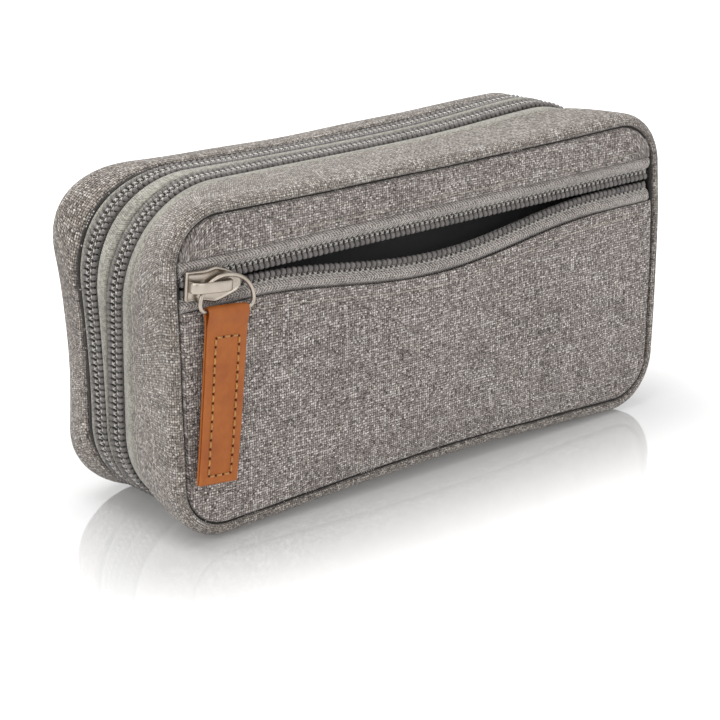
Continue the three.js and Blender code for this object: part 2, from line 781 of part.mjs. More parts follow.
// Main sliders: they sit on the right side, and their rings hang from the crown under the bridge.
const mainStack = tapeInset + tapeThickness;
const mainCrownShare = 1 / 6; // of the slider's length, from its middle
for (const { name, centre } of zips) {
  const frame = new THREE.Group();
  frame.matrixAutoUpdate = false;
  frame.matrix.makeBasis(
    new THREE.Vector3(0, 0, -1),
    new THREE.Vector3(0, 1, 0),
    new THREE.Vector3(1, 0, 0),
  );
  frame.matrix.setPosition(caseLength / 2, centre, mainSliderZ);
  model.add(frame);
  addPiece(`${name}_slider`, sliderBody(mainSliderLength, sliderWidth, mainStack), nickel, frame);
  addPiece(`${name}_slider_bridge`, bridgeStrap(mainSliderLength, 0), nickel, frame);
  const ringWidth = mainPullWidth + 2 * (mainWire + seatGap);
  const ring = addPiece(`${name}_ring`, wireRing(ringWidth, mainRingDrop, mainWire), nickel, frame);
  // The ring hangs along the zip, so it is turned a quarter turn in its plane.
  ring.rotation.z = Math.PI / 2;
  const crownX = mainSliderLength * mainCrownShare;
  ring.position.set(crownX, 0, ringLevel);
  const pull = addPiece(`${name}_pull`, leatherPull(mainPullWidth, mainPullLength, mainWire), tan, frame);
  pull.rotation.z = Math.PI / 2;
  pull.position.set(crownX + mainRingDrop, 0, ringLevel);
}

export default model;
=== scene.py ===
# %% [markdown]
# # A soft zip case for insulin pens, dressed over its CAD model
#
# The real object is a small padded case of heather-grey weave that stands on its long edge.
# Two zips part it into a front lid, a narrow middle band and a back lid. The front has an
# open zip pocket with a nickel slider and a tan leather pull.
# This lesson loads the CAD model as a fixed frame, then lays each surface over it as a grid
# worked out with numpy, in metres.

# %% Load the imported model
import math

import bmesh
import bpy
import numpy as np
from mathutils import Matrix, Vector


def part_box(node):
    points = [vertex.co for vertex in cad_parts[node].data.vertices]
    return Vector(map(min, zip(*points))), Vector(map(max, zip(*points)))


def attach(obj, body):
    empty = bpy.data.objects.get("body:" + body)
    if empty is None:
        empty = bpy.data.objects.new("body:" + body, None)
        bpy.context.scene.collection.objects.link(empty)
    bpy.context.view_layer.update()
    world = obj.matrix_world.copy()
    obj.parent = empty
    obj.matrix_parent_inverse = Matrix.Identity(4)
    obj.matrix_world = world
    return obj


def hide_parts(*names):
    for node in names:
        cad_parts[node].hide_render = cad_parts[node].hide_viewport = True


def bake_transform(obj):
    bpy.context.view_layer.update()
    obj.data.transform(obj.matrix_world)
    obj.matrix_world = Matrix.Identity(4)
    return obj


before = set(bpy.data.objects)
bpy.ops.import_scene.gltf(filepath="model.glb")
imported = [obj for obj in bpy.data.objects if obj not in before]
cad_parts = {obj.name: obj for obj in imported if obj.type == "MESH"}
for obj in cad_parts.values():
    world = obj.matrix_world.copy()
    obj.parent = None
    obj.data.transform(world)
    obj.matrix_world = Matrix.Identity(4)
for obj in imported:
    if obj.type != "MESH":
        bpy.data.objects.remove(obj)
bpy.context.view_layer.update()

# %% [markdown]
# ## Sizes
#
# Cloth has to meet its zip and its slider, so sizes that both models share are read from
# the boxes of the CAD nodes. The rest are small values that belong to the cloth itself.

# %% Sizes read from the CAD model
MM = 0.001
X_AXIS, Y_AXIS, Z_AXIS = np.eye(3)


def box_low_high(node):
    """The lowest and highest corner of a CAD node as two numpy points."""
    low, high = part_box(node)
    return np.array(low), np.array(high)


FRONT_LOW, FRONT_HIGH = box_low_high("front_gusset")
BAND_LOW, BAND_HIGH = box_low_high("middle_band")
TAPE_LOW, TAPE_HIGH = box_low_high("pocket_zip_upper_tape")
PANEL_LOW = box_low_high("front_upper_panel")[0]

CASE_LENGTH = FRONT_HIGH[0] - FRONT_LOW[0]
CASE_HEIGHT = FRONT_HIGH[2]
FACE_Y = FRONT_LOW[1]
BACK_Y = box_low_high("back_panel")[1][1]
FRONT_REAR_Y = FRONT_HIGH[1]
BACK_START_Y = box_low_high("back_gusset")[0][1]
LOWER_TAPE_TOP = box_low_high("pocket_zip_lower_tape")[1][2]

TOP_RADIUS = 36 * MM  # outline of the zips, upper corners
BOTTOM_RADIUS = 30 * MM
FACE_RADIUS = 20 * MM  # outline at the front face
TURNED_EDGE = 4 * MM  # rounded front edge of the gusset
WALL = 2.2 * MM  # thickness of the padded cloth
print("case", round(CASE_LENGTH, 4), round(CASE_HEIGHT, 4), "depth", round(BACK_Y - FACE_Y, 4))

# %% [markdown]
# ## The camera
#
# The photograph is taken from the left and a little above, with a long lens. The angles,
# the distance and the lens come from matching the case's corners to it. They give the
# direction back towards the camera, the point it looks at, and a small roll.

# %% Camera
CAMERA_AZIMUTH = math.radians(-38.672)
CAMERA_ELEVATION = math.radians(18.902)
CAMERA_ROLL = math.radians(-0.845)
CAMERA_DISTANCE = 0.75756
CAMERA_TARGET = Vector((-0.00456, 0.0, 0.03192))
CAMERA_LENS = 110.0

back = Vector((
    math.sin(CAMERA_AZIMUTH) * math.cos(CAMERA_ELEVATION),
    -math.cos(CAMERA_AZIMUTH) * math.cos(CAMERA_ELEVATION),
    math.sin(CAMERA_ELEVATION),
))
level_right = Vector((math.cos(CAMERA_AZIMUTH), math.sin(CAMERA_AZIMUTH), 0.0))
level_up = back.cross(level_right)
right = level_right * math.cos(CAMERA_ROLL) + level_up * math.sin(CAMERA_ROLL)
up = level_up * math.cos(CAMERA_ROLL) - level_right * math.sin(CAMERA_ROLL)

camera_data = bpy.data.cameras.new("camera")
camera_data.lens = CAMERA_LENS
camera = bpy.data.objects.new("camera", camera_data)
bpy.context.scene.collection.objects.link(camera)
camera.matrix_world = Matrix((
    (right.x, up.x, back.x, 0.0),
    (right.y, up.y, back.y, 0.0),
    (right.z, up.z, back.z, 0.0),
    (0.0, 0.0, 0.0, 1.0),
))
camera.location = CAMERA_TARGET + back * CAMERA_DISTANCE
bpy.context.scene.camera = camera
print("camera at", [round(value, 3) for value in camera.location])

# %% [markdown]
# ## Helpers for surfaces
#
# Almost everything here is a sheet: a grid of points over two parameters. One helper turns
# such a grid into a mesh with a UV map in metres, so that threads have their real size on
# every piece. Where a grid wraps round, its points are shared and only the UV map is cut.


# %% Array helpers
def together(*parts):
    """Coordinates, each an array or a number, spread to one shape and joined as points."""
    return np.stack(np.broadcast_arrays(*parts), axis=-1)


def unit(vectors):
    """The same vectors with a length of one."""
    return vectors / np.linalg.norm(vectors, axis=-1, keepdims=True)


def run_of(path):
    """The length along a polyline (n, k) up to each of its points."""
    steps = np.linalg.norm(np.diff(path, axis=0), axis=1)
    return np.concatenate([[0], np.cumsum(steps)])


def full_turn(count):
    """Evenly spaced angles once round."""
    return np.linspace(0, 2 * math.pi, count, endpoint=False)


def blunted(value, power):
    """|value|^power with the sign of value: a power under one squares off a circle's sine."""
    return np.abs(value) ** power * np.sign(value)


# %% Mesh helpers
def make_object(name, points, faces, loop_uv=None):
    """A mesh object from points (n, 3) and faces (m, corners); loop_uv is (m * corners, 2)."""
    points = np.asarray(points, float).reshape(-1, 3)
    faces = np.asarray(faces, int)
    corners = faces.shape[1]
    mesh = bpy.data.meshes.new(name)
    mesh.vertices.add(len(points))
    mesh.vertices.foreach_set("co", points.astype(np.float32).ravel())
    mesh.loops.add(faces.size)
    mesh.loops.foreach_set("vertex_index", faces.astype(np.int32).ravel())
    mesh.polygons.add(len(faces))
    starts = np.arange(len(faces), dtype=np.int32) * corners
    mesh.polygons.foreach_set("loop_start", starts)
    mesh.polygons.foreach_set("use_smooth", np.ones(len(faces), bool))
    mesh.update(calc_edges=True)
    if loop_uv is not None:
        layer = mesh.uv_layers.new(name="cloth")
        layer.data.foreach_set("uv", np.asarray(loop_uv, np.float32).ravel())
    mesh.validate()
    made = bpy.data.objects.new(name, mesh)
    bpy.context.scene.collection.objects.link(made)
    return made


def grid_faces(rows, columns, wrap_rows, wrap_columns):
    """Quads of a grid, and the unwrapped row and column of each corner."""
    row_steps = rows if wrap_rows else rows - 1
    column_steps = columns if wrap_columns else columns - 1
    row, column = np.meshgrid(np.arange(row_steps), np.arange(column_steps), indexing="ij")
    corner_rows = together(row, row, row + 1, row + 1).reshape(-1, 4)
    corner_columns = together(column, column + 1, column + 1, column).reshape(-1, 4)
    faces = (corner_rows % rows) * columns + corner_columns % columns
    return faces, corner_rows, corner_columns


def weld(piece):
    """Joins points that lie on each other, and turns a shell whose volume comes out negative.

    The volume between an open panel and the origin is positive when the panel faces away.
    """
    shell = bmesh.new()
    shell.from_mesh(piece.data)
    bmesh.ops.remove_doubles(shell, verts=shell.verts, dist=1e-7)
    if shell.calc_volume(signed=True) < 0:
        bmesh.ops.reverse_faces(shell, faces=shell.faces)
    shell.to_mesh(piece.data)
    shell.free()
    return piece


def running_length(points, axis, wrap):
    """Distance along one axis of a grid of points, with the wrap's last step added."""
    if wrap:
        points = np.concatenate([points, np.take(points, [0], axis=axis)], axis=axis)
    steps = np.linalg.norm(np.diff(points, axis=axis), axis=-1)
    start = np.zeros_like(np.take(steps, [0], axis=axis))
    return np.concatenate([start, np.cumsum(steps, axis=axis)], axis=axis)


def grid_piece(name, grid, wrap_rows=False, wrap_columns=False, uv=None):
    """A welded piece from a grid of points (rows, columns, 3), with its faces outwards.

    U is the mean distance along the columns and V the mean distance along the rows, in
    metres, unless uv gives both as a grid.
    """
    rows, columns = grid.shape[:2]
    faces, corner_rows, corner_columns = grid_faces(rows, columns, wrap_rows, wrap_columns)
    if uv is None:
        along = running_length(grid, 1, wrap_columns).mean(axis=0)
        across = running_length(grid, 0, wrap_rows).mean(axis=1)
        corner_uv = together(along[corner_columns], across[corner_rows])
    else:
        corner_uv = uv[corner_rows % rows, corner_columns % columns]
    return weld(make_object(name, grid.reshape(-1, 3), faces, corner_uv.reshape(-1, 2)))


def closed_ring(name, grid):
    """A piece from sections that are closed curves, carried round a closed path."""
    return grid_piece(name, grid, wrap_rows=True, wrap_columns=True)


def close_ends(grid):
    """Adds a column at each end that gathers the strip's section into its middle point."""
    first, last = (np.broadcast_to(end.mean(axis=0), end.shape) for end in (grid[:, :1], grid[:, -1:]))
    return np.concatenate([first, grid, last], axis=1)


def closed_strip(name, grid):
    """A piece from closed sections along an open path, with gathered ends."""
    return grid_piece(name, close_ends(grid), wrap_rows=True)


def dress(piece, material, body, node=None):
    """Gives a piece its material and its body, and hides the CAD node that it replaces."""
    piece.data.materials.append(material)
    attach(piece, body)
    if node:
        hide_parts(node)
    return piece


print("mesh helpers ready")

# %% [markdown]
# ## The outline of the case
#
# Seen from the front, every ring of the case is a rounded rectangle. Each gusset is a profile
# carried round it: stations with a depth y, an inset from the outline, and a share that
# turns the wide zip corners into the tighter corners of the front face.

# %% Outline of the case
ARC_STEPS = 24
LONG_STEPS = 70
SHORT_STEPS = 22


def case_outline(inset, face_share=0.0):
    """Points (stations, samples, 2) in X and Z of the outline moved inwards by inset.

    Each corner is an arc: centre plus (radius - inset) times (cos a, sin a). A straight run
    joins the end of one arc to the start of the next. Samples start at the lower left
    corner and run clockwise, seen from the front.
    """
    inset = np.atleast_1d(np.asarray(inset, float))
    share = np.broadcast_to(np.asarray(face_share, float), inset.shape)
    top = TOP_RADIUS + (FACE_RADIUS - TOP_RADIUS) * share
    bottom = BOTTOM_RADIUS + (FACE_RADIUS - BOTTOM_RADIUS) * share
    half = CASE_LENGTH / 2
    corners = (
        (-(half - bottom), bottom, bottom, 1.5),
        (-(half - top), CASE_HEIGHT - top, top, 1.0),
        (half - top, CASE_HEIGHT - top, top, 0.5),
        (half - bottom, bottom, bottom, 0.0),
    )
    arcs = []
    for centre_x, centre_z, radius, half_turns in corners:
        angle = (half_turns - np.linspace(0, 0.5, ARC_STEPS + 1)) * math.pi
        reach = (radius - inset)[:, None]
        x = centre_x[:, None] + reach * np.cos(angle)
        z = centre_z[:, None] + reach * np.sin(angle)
        arcs.append(together(x, z))
    parts = []
    for k, steps in enumerate((SHORT_STEPS, LONG_STEPS, SHORT_STEPS, LONG_STEPS)):
        arc, following = arcs[k], arcs[(k + 1) % 4]
        share_along = np.linspace(0, 1, steps + 1)[1:-1, None]
        run = arc[:, -1:] + (following[:, :1] - arc[:, -1:]) * share_along
        parts += [arc, run]
    return np.concatenate(parts, axis=1)


# %% [markdown]
# Soft walls don't stay straight: the top sags between the corners, and the lower front edge
# arches up off the table. One function moves every soft piece by the same smooth amount, so
# that neighbours keep touching.

# %% How the soft case settles
TOP_SAG = 1.3 * MM
SAG_START_Z = CASE_HEIGHT - 16 * MM
BOTTOM_ARCH = 3.2 * MM
ARCH_END_Z = 24 * MM
ARCH_START_Y = 12 * MM
UNEVENNESS = 0.35 * MM


def smooth_step(low, high, value):
    """Zero below low, one above high, and the cubic 3t^2 - 2t^3 between them."""
    share = np.clip((value - low) / (high - low), 0, 1)
    return share * share * (3 - 2 * share)


def uneven(x, y, z):
    """A slow ripple from minus one to one: a mean of sines with unlike wavelengths."""
    first = np.sin(x * 61 + z * 23) * np.sin(z * 47 - y * 90 + 1.3)
    second = np.sin(x * 113 - z * 71 + 2.1) * np.sin(y * 150 + z * 95 + 0.7)
    return (first + second) / 2


BAND_MIDDLE_Y = 3.8 * MM
BAND_SPREAD = 2.9 * MM  # at SPREAD_AT in x and z, the upper left corner
SPREAD_AT, SPREAD_REACH = (-CASE_LENGTH / 2 + 12 * MM, CASE_HEIGHT - 10 * MM), 34 * MM
BAND_PINCH = 1.1 * MM
PINCH_AT, PINCH_REACH = (-CASE_LENGTH / 2, 22 * MM), 32 * MM
BAND_TURN = 1.3 * MM  # half the width over which the push turns from forwards to backwards
BAND_REACH = 20 * MM
SWELLS = [  # where x, y, z; reach over the outline and in depth; push in x and z, all in mm
    (-105, 27, 103, 26, 13, -5.0, 2.0),
    (-106, 25, 14, 20, 13, -2.0, 0.0),
    (74, 3, 110, 40, 16, 0.0, 2.8),
    (106, -28, 62, 45, 16, 2.6, 0.0),
]


def near(x, z, at_x, at_z, reach):
    """One at a point of the outline, falling off as exp(-(d / reach)^2)."""
    return np.exp(-((x - at_x) ** 2 + (z - at_z) ** 2) / reach ** 2)


def swell(points):
    """Uneven sewing: the band spreads and is pinched, and the gussets puff out where SWELLS says."""
    x, y, z = points[..., 0], points[..., 1], points[..., 2]
    spread = BAND_SPREAD * near(x, z, *SPREAD_AT, SPREAD_REACH)
    pinch = BAND_PINCH * near(x, z, *PINCH_AT, PINCH_REACH)
    off_band = y - BAND_MIDDLE_Y
    fading = np.tanh(off_band / BAND_TURN) * np.exp(-(off_band / BAND_REACH) ** 2)
    moved = points.copy()
    moved[..., 1] += (spread - pinch) * fading
    for row in SWELLS:
        at_x, at_y, at_z, reach, depth, push_x, push_z = np.array(row) * MM
        weight = near(x, z, at_x, at_z, reach) * np.exp(-((y - at_y) / depth) ** 2)
        moved[..., 0] += weight * push_x
        moved[..., 2] += weight * push_z
    return moved


def settle(points):
    """Moves soft pieces: they swell, the top sags by a parabola in X, and the lower edges arch up."""
    points = swell(points)
    x, y, z = points[..., 0], points[..., 1], points[..., 2]
    along = np.clip(1 - (2 * x / CASE_LENGTH) ** 2, 0, 1)
    sag = TOP_SAG * along * smooth_step(SAG_START_Z, CASE_HEIGHT, z)
    to_edge = smooth_step(ARCH_START_Y, -FACE_Y, np.abs(y))
    arch = BOTTOM_ARCH * along ** 2 * to_edge * (1 - smooth_step(0, ARCH_END_Z, z))
    moved = points.copy()
    moved[..., 2] += arch - sag
    return moved


def loft(profile):
    """A grid round the case from a profile of (y, inset, face share) rows, settled."""
    profile = np.asarray(profile, float)
    flat = case_outline(profile[:, 1], profile[:, 2])
    return settle(together(flat[..., 0], profile[:, :1], flat[..., 1]))


print("outline has", case_outline(0.0).shape[1], "samples")

# %% [markdown]
# ## Materials as formulas
#
# A woven look could come from an image, but a formula keeps its detail at any distance. A
# small class adds a shader node for each term of a formula and returns its output, so that
# a material below reads like arithmetic.


# %% Shader helper
def linear(hex_colour):
    """A colour written as six hex digits, turned into linear light for a shader."""
    parts = np.array([int(hex_colour[k:k + 2], 16) for k in (0, 2, 4)]) / 255
    light = np.where(parts <= 0.04045, parts / 12.92, ((parts + 0.055) / 1.055) ** 2.4)
    return (*[float(value) for value in light], 1.0)


class Nodes:
    """The nodes of a material or a world, and one short call for each kind."""

    def __init__(self, owner, main):
        owner.use_nodes = True
        self.tree = owner.node_tree
        self.main = self.tree.nodes[main]

    def set(self, socket, value):
        """Sets one of the main node's sockets, or links another node's output to it."""
        target = self.main.inputs[socket]
        if isinstance(value, bpy.types.NodeSocket):
            self.tree.links.new(value, target)
        else:
            target.default_value = value

    def node(self, kind, inputs=(), output=0, **settings):
        """Adds a node, sets its properties, and feeds its inputs with numbers or outputs."""
        made = self.tree.nodes.new(kind)
        for key, value in settings.items():
            setattr(made, key, value)
        for key, value in dict(inputs).items():
            if isinstance(value, bpy.types.NodeSocket):
                self.tree.links.new(value, made.inputs[key])
            else:
                made.inputs[key].default_value = value
        return made.outputs[output]

    def math(self, operation, *inputs):
        """The output of a Math node."""
        return self.node("ShaderNodeMath", enumerate(inputs), operation=operation)

    def plus(self, first, second):
        return self.math("ADD", first, second)

    def times(self, first, second):
        return self.math("MULTIPLY", first, second)

    def over(self, value, divisor):
        return self.math("DIVIDE", value, divisor)

    def floor(self, value):
        return self.math("FLOOR", value)

    def scaled(self, value, gain, offset):
        """value * gain + offset."""
        return self.math("MULTIPLY_ADD", value, gain, offset)

    def wave(self, value, length):
        """sin(2 pi value / length)."""
        return self.math("SINE", self.times(value, 2 * math.pi / length))

    def mix(self, factor, first, second):
        """One colour or number mixed into another by factor."""
        return self.node("ShaderNodeMix", {"Factor": factor, 6: first, 7: second}, 2, data_type="RGBA")

    def span(self, value, low, high, to_low=0.0, to_high=1.0):
        """A value mapped smoothly from one range to another, and held at its ends."""
        inputs = {"Value": value, "From Min": low, "From Max": high, "To Min": to_low, "To Max": to_high}
        return self.node("ShaderNodeMapRange", inputs, interpolation_type="SMOOTHSTEP")

    def tint(self, value, low, high, dark, light):
        """Base colour from dark, where a value is under low, to light, where it is over high."""
        self.set("Base Color", self.mix(self.span(value, low, high), linear(dark), linear(light)))

    def shade(self, colour, factor):
        """Base colour from a colour, or a colour output, times a factor."""
        inputs = {0: linear(colour)[:3] if isinstance(colour, str) else colour, 3: factor}
        self.set("Base Color", self.node("ShaderNodeVectorMath", inputs, operation="SCALE"))

    def cells(self, vector, scale, feature):
        """Voronoi cells: the distance to their points or to their borders."""
        return self.node("ShaderNodeTexVoronoi", {"Vector": vector, "Scale": scale}, feature=feature)

    def parts(self, vector, count):
        """The first numbers of a vector, as outputs."""
        return [self.node("ShaderNodeSeparateXYZ", {0: vector}, k) for k in range(count)]

    def cloth_uv(self):
        """U and V of the piece's own map, in metres, as two outputs."""
        return self.parts(self.node("ShaderNodeUVMap", uv_map="cloth"), 2)

    def ray(self, kind):
        """One for rays of a kind, such as Camera, and zero for all others."""
        return self.node("ShaderNodeLightPath", output=f"Is {kind} Ray")

    def object_place(self):
        """The point on the piece, in the CAD model's metres."""
        return self.node("ShaderNodeTexCoord", output=3)

    def vector(self, x, y, z=0.0):
        """Three numbers or outputs as one vector."""
        return self.node("ShaderNodeCombineXYZ", {0: x, 1: y, 2: z})

    def noise(self, vector, scale, detail=2.0, roughness=0.5):
        """Smooth noise from zero to one."""
        inputs = {"Vector": vector, "Scale": scale, "Detail": detail, "Roughness": roughness}
        return self.node("ShaderNodeTexNoise", inputs)

    def random(self, vector):
        """An unrelated number from zero to one for each different vector."""
        return self.node("ShaderNodeTexWhiteNoise", {"Vector": vector})

    def bump(self, height, distance, strength):
        """Feeds a height in zero to one, and its full depth in metres, to the shader's normal."""
        inputs = {"Strength": strength, "Distance": distance, "Height": height}
        self.set("Normal", self.node("ShaderNodeBump", inputs))


class Shader(Nodes):
    """A material with its Principled shader."""

    def __init__(self, name, colour, roughness, metallic=0.0, sheen=0.0):
        self.material = bpy.data.materials.new(name)
        super().__init__(self.material, "Principled BSDF")
        self.set("Base Color", linear(colour))
        self.set("Roughness", roughness)
        self.set("Metallic", metallic)
        self.set("Sheen Weight", sheen)
        self.material.diffuse_color = linear(colour)


print("shader helper ready")

# %% [markdown]
# ## The weave
#
# The cloth is a plain weave of thick melange yarns, a little under a millimetre apart. Each
# crossing shows the warp or the weft thread, like a chessboard, round across and dipping at
# its ends. Melange yarn is spun from dark and light fibres, so crossings differ at random, a
# few stretches are nearly white, and fine fibres blur the edges. The colour also follows the
# threads' height: painted shade where they dip into the gaps and a painted highlight on
# their tops. All of it is worked out from the UV map, in metres.


# %% Weave material
THREAD_DRIFT = 1.6 * MM  # how far a thread wanders from its straight line
DIP = 0.38  # share of its height that a thread loses at its ends
WHITE_SHARE = 0.05  # of all stretches of thread
WHITE_YARN = "e9e4e0"


def weave_material(name, dark, middle, light, pitch, relief):
    """Plain weave: height is cos(pi * across) * (1 - DIP + DIP cos(pi * along)) on each crossing.

    The third number of each random vector only keeps one random field apart from the next.
    """
    shader = Shader(name, middle, 0.92, sheen=0.25)
    u, v = shader.cloth_uv()
    place = shader.vector(u, v)
    drift_u = shader.times(shader.noise(place, 55.0), THREAD_DRIFT)
    drift_v = shader.times(shader.noise(shader.vector(v, u), 60.0), THREAD_DRIFT)
    u = shader.over(shader.plus(u, drift_u), pitch)
    v = shader.over(shader.plus(v, drift_v), pitch)
    column, row = shader.floor(u), shader.floor(v)
    weft_on_top = shader.math("FLOORED_MODULO", shader.plus(column, row), 2.0)

    across_u, across_v = (shader.math("SUBTRACT", shader.math("FRACT", side), 0.5) for side in (u, v))
    round_u = shader.math("COSINE", shader.times(across_u, math.pi))
    round_v = shader.math("COSINE", shader.times(across_v, math.pi))
    warp = shader.times(round_u, shader.scaled(round_v, DIP, 1 - DIP))
    weft = shader.times(round_v, shader.scaled(round_u, DIP, 1 - DIP))
    height = shader.mix(weft_on_top, warp, weft)

    speckle = shader.random(shader.vector(column, row, 3.0))
    fleck_u, fleck_v = shader.floor(shader.times(u, 1.9)), shader.floor(shader.times(v, 2.1))
    fleck = shader.random(shader.vector(fleck_u, fleck_v, 5.0))
    warp_stretch = shader.floor(shader.scaled(row, 0.12, 0.5))
    weft_stretch = shader.floor(shader.scaled(column, 0.085, 0.5))
    warp_tone = shader.random(shader.vector(column, warp_stretch, 11.0))
    weft_tone = shader.random(shader.vector(weft_stretch, row, 17.0))
    tone = shader.mix(weft_on_top, warp_tone, weft_tone)
    slow_warp = shader.noise(shader.vector(shader.times(column, 7.3), shader.times(row, 0.16)), 1.0)
    slow_weft = shader.noise(shader.vector(shader.times(column, 0.13), shader.times(row, 7.7)), 1.0)
    slow = shader.mix(weft_on_top, slow_warp, slow_weft)
    melange = shader.scaled(speckle, 0.28, shader.times(fleck, 0.4))
    melange = shader.scaled(slow, 0.32, melange)
    cloudy = shader.noise(place, 28.0, 3.0)
    melange = shader.plus(melange, shader.scaled(cloudy, 0.12, -0.06))

    yarn = shader.mix(shader.span(melange, 0.18, 0.5), linear(dark), linear(middle))
    yarn = shader.mix(shader.span(melange, 0.5, 0.82), yarn, linear(light))
    white = shader.span(tone, 1.0 - WHITE_SHARE, 1.0 - WHITE_SHARE / 2)
    yarn = shader.mix(shader.times(white, 0.5), yarn, linear(WHITE_YARN))
    fibres = shader.noise(place, 5200.0, 3.0, 0.7)
    # Painted shade and highlight: the thread's height scales its colour from 0.2 in the gaps to 1.2 on its
    # top.
    shade = shader.span(height, 0.05, 0.7, 0.2, 1.2)
    shader.shade(yarn, shader.times(shade, shader.scaled(fibres, 0.5, 0.75)))
    shader.bump(shader.plus(height, shader.times(fibres, 0.35)), relief, 0.85)
    return shader.material


panel_cloth = weave_material("heather_weave_dark", "3d3632", "988d87", "ece4de", 0.86 * MM, 0.45 * MM)
gusset_cloth = weave_material("heather_weave", "453d37", "8f857d", "dad2c9", 0.76 * MM, 0.4 * MM)
print("weave materials", panel_cloth.name, gusset_cloth.name)

# %% [markdown]
# ## The front gusset
#
# The gusset is one strip of padded cloth sewn round the front panel. Its rear edge is folded
# under and stitched beside the zip tape, and its front edge turns over in a soft roll into
# the seam. A profile of a few arcs gives both, where a bevelled rectangle would look cut.

# %% Front gusset profile
HEM_RADIUS = 1.1 * MM
HEM_START_Y = FRONT_REAR_Y - 2.0 * MM  # the tape shows up to here
CROWN = 0.6 * MM
SEAM_DEPTH = 2.4 * MM
SEAM_ROLL = 0.9 * MM
EDGE_ARC_STEPS = 10
WALL_STEPS = 12
STITCH_LINE = 2.4 * MM  # from the folded edge to its row of stitches
STITCH_DIP, DIP_REACH = 0.35 * MM, 0.8 * MM
SHARE_POWER = 0.8  # how soon the wall's outline turns into that of the face


def stitch_dip(distance):
    """How far the cloth is pulled in beside a row of stitches: a bell curve round zero."""
    return STITCH_DIP * np.exp(-(distance / DIP_REACH) ** 2)


def folded_hem(edge_y, side):
    """Rows of (y, inset, face share) of a quarter circle that starts at a folded edge."""
    turn = np.linspace(0, math.pi / 2, 6)
    return together(edge_y + side * HEM_RADIUS * (1 - np.cos(turn)), HEM_RADIUS * (1 - np.sin(turn)), 0.0)


def front_gusset_profile():
    """Rows of (y, inset, face share): hem, crowned wall, rolled edge, seam, then inside."""
    edge_start = FACE_Y + TURNED_EDGE
    wall_y = np.linspace(HEM_START_Y - HEM_RADIUS, edge_start, WALL_STEPS + 2)[1:-1]
    share = (HEM_START_Y - wall_y) / (HEM_START_Y - edge_start)
    crown = CROWN * np.sin(math.pi * share)
    dip = stitch_dip(HEM_START_Y - STITCH_LINE - wall_y)
    wall = together(wall_y, dip - crown, np.clip(share, 0, 1) ** SHARE_POWER)
    wide = TURNED_EDGE - SEAM_ROLL
    roll = np.linspace(0, math.pi / 2, EDGE_ARC_STEPS)
    edge = together(edge_start - TURNED_EDGE * np.sin(roll), wide - wide * np.cos(roll), 1.0)
    tuck = np.linspace(0, math.pi / 2, 6)[1:]
    tuck = together(FACE_Y + SEAM_ROLL - SEAM_ROLL * np.cos(tuck), wide + SEAM_ROLL * np.sin(tuck), 1.0)
    inner = np.array([
        (FACE_Y + SEAM_DEPTH, TURNED_EDGE, 1.0),
        (FACE_Y + TURNED_EDGE + WALL, WALL, 1.0),
        (HEM_START_Y - HEM_RADIUS, WALL, 0.0),
        (HEM_START_Y, WALL - HEM_RADIUS / 2, 0.0),
    ])
    return np.concatenate([folded_hem(HEM_START_Y, -1), wall, edge, tuck, inner])


# %% Front gusset
def wrinkle(grid):
    """Pushes a ring of cloth in and out by the slow ripple, away from the case's middle."""
    middle = np.array([0.0, 0.0, CASE_HEIGHT / 2])
    direction = grid - middle
    direction[..., 1] = 0
    amount = uneven(grid[..., 0], grid[..., 1], grid[..., 2]) * UNEVENNESS
    return grid + unit(direction) * amount[..., None]


front_gusset = closed_ring("front_gusset_cloth", wrinkle(loft(front_gusset_profile())))
dress(front_gusset, gusset_cloth, "front_lid", "front_gusset")
print("front gusset", len(front_gusset.data.polygons), "faces")

# %% [markdown]
# ## The front panels
#
# The front face is two panels with the pocket zip between them. Each bulges a little in its
# middle, its edges sink into the seam, and the lower panel's top edge is folded over and
# hangs down where the pocket stands open. The columns of each panel's grid run from one
# edge to the other, so the edges follow their curves exactly.

# %% Heights on the front face
PANEL_INSET = TURNED_EDGE + 0.65 * MM
WINDOW_TOP = PANEL_LOW[2]
LIP_SAG = 6.5 * MM
LIP_BULGE_SHARE = 0.2
MOUTH_HALF = 76 * MM
ZIP_CENTRE = (TAPE_LOW[2] + LOWER_TAPE_TOP) / 2
WINDOW_BOTTOM = 2 * ZIP_CENTRE - WINDOW_TOP


def lip_sag(x):
    """How far the open lip hangs down: LIP_SAG times cos^2 of a quarter turn to each end."""
    share = np.clip(np.abs(x) / MOUTH_HALF, 0, 1)
    return LIP_SAG * np.cos(share * math.pi / 2) ** 2


def lip_bulge(x):
    """How far the open lip stands forward: a share of its sag."""
    return LIP_BULGE_SHARE * lip_sag(x)


def edge_heights(x, inset, top=FACE_RADIUS, bottom=FACE_RADIUS):
    """Upper and lower height of the outline at x: corner centre +- sqrt(r^2 - past^2)."""
    found = []
    for radius, centre, side in ((top, CASE_HEIGHT - top, 1), (bottom, bottom, -1)):
        reach = radius - inset
        past = np.clip(np.abs(x) - (CASE_LENGTH / 2 - radius), 0, reach)
        found.append(centre + side * np.sqrt(reach ** 2 - past ** 2))
    return found


def face_end(height, inset):
    """The largest x at which the upper edge of the face is still above a height."""
    radius = FACE_RADIUS - inset
    rise = max(height - (CASE_HEIGHT - FACE_RADIUS), 0.0)
    return CASE_LENGTH / 2 - FACE_RADIUS + math.sqrt(radius ** 2 - rise ** 2)


def spread_columns(half, count):
    """X of the columns, closer together towards both ends: half * sin of evenly spaced angles."""
    return half * np.sin(np.linspace(-math.pi / 2, math.pi / 2, count))


print("pocket zip at", round(ZIP_CENTRE, 4), "window", round(WINDOW_BOTTOM, 4), round(WINDOW_TOP, 4))

# %% [markdown]
# A panel bulges like a cushion: its depth follows one minus the fourth power of the distance
# from the middle, both ways, and drops steeply only where the seam pulls it in.


# %% Front panel surfaces
SEAM_REACH = 1.6 * MM  # width over which a panel dips into its seam
FAR = 20 * MM  # beyond the reach of any seam


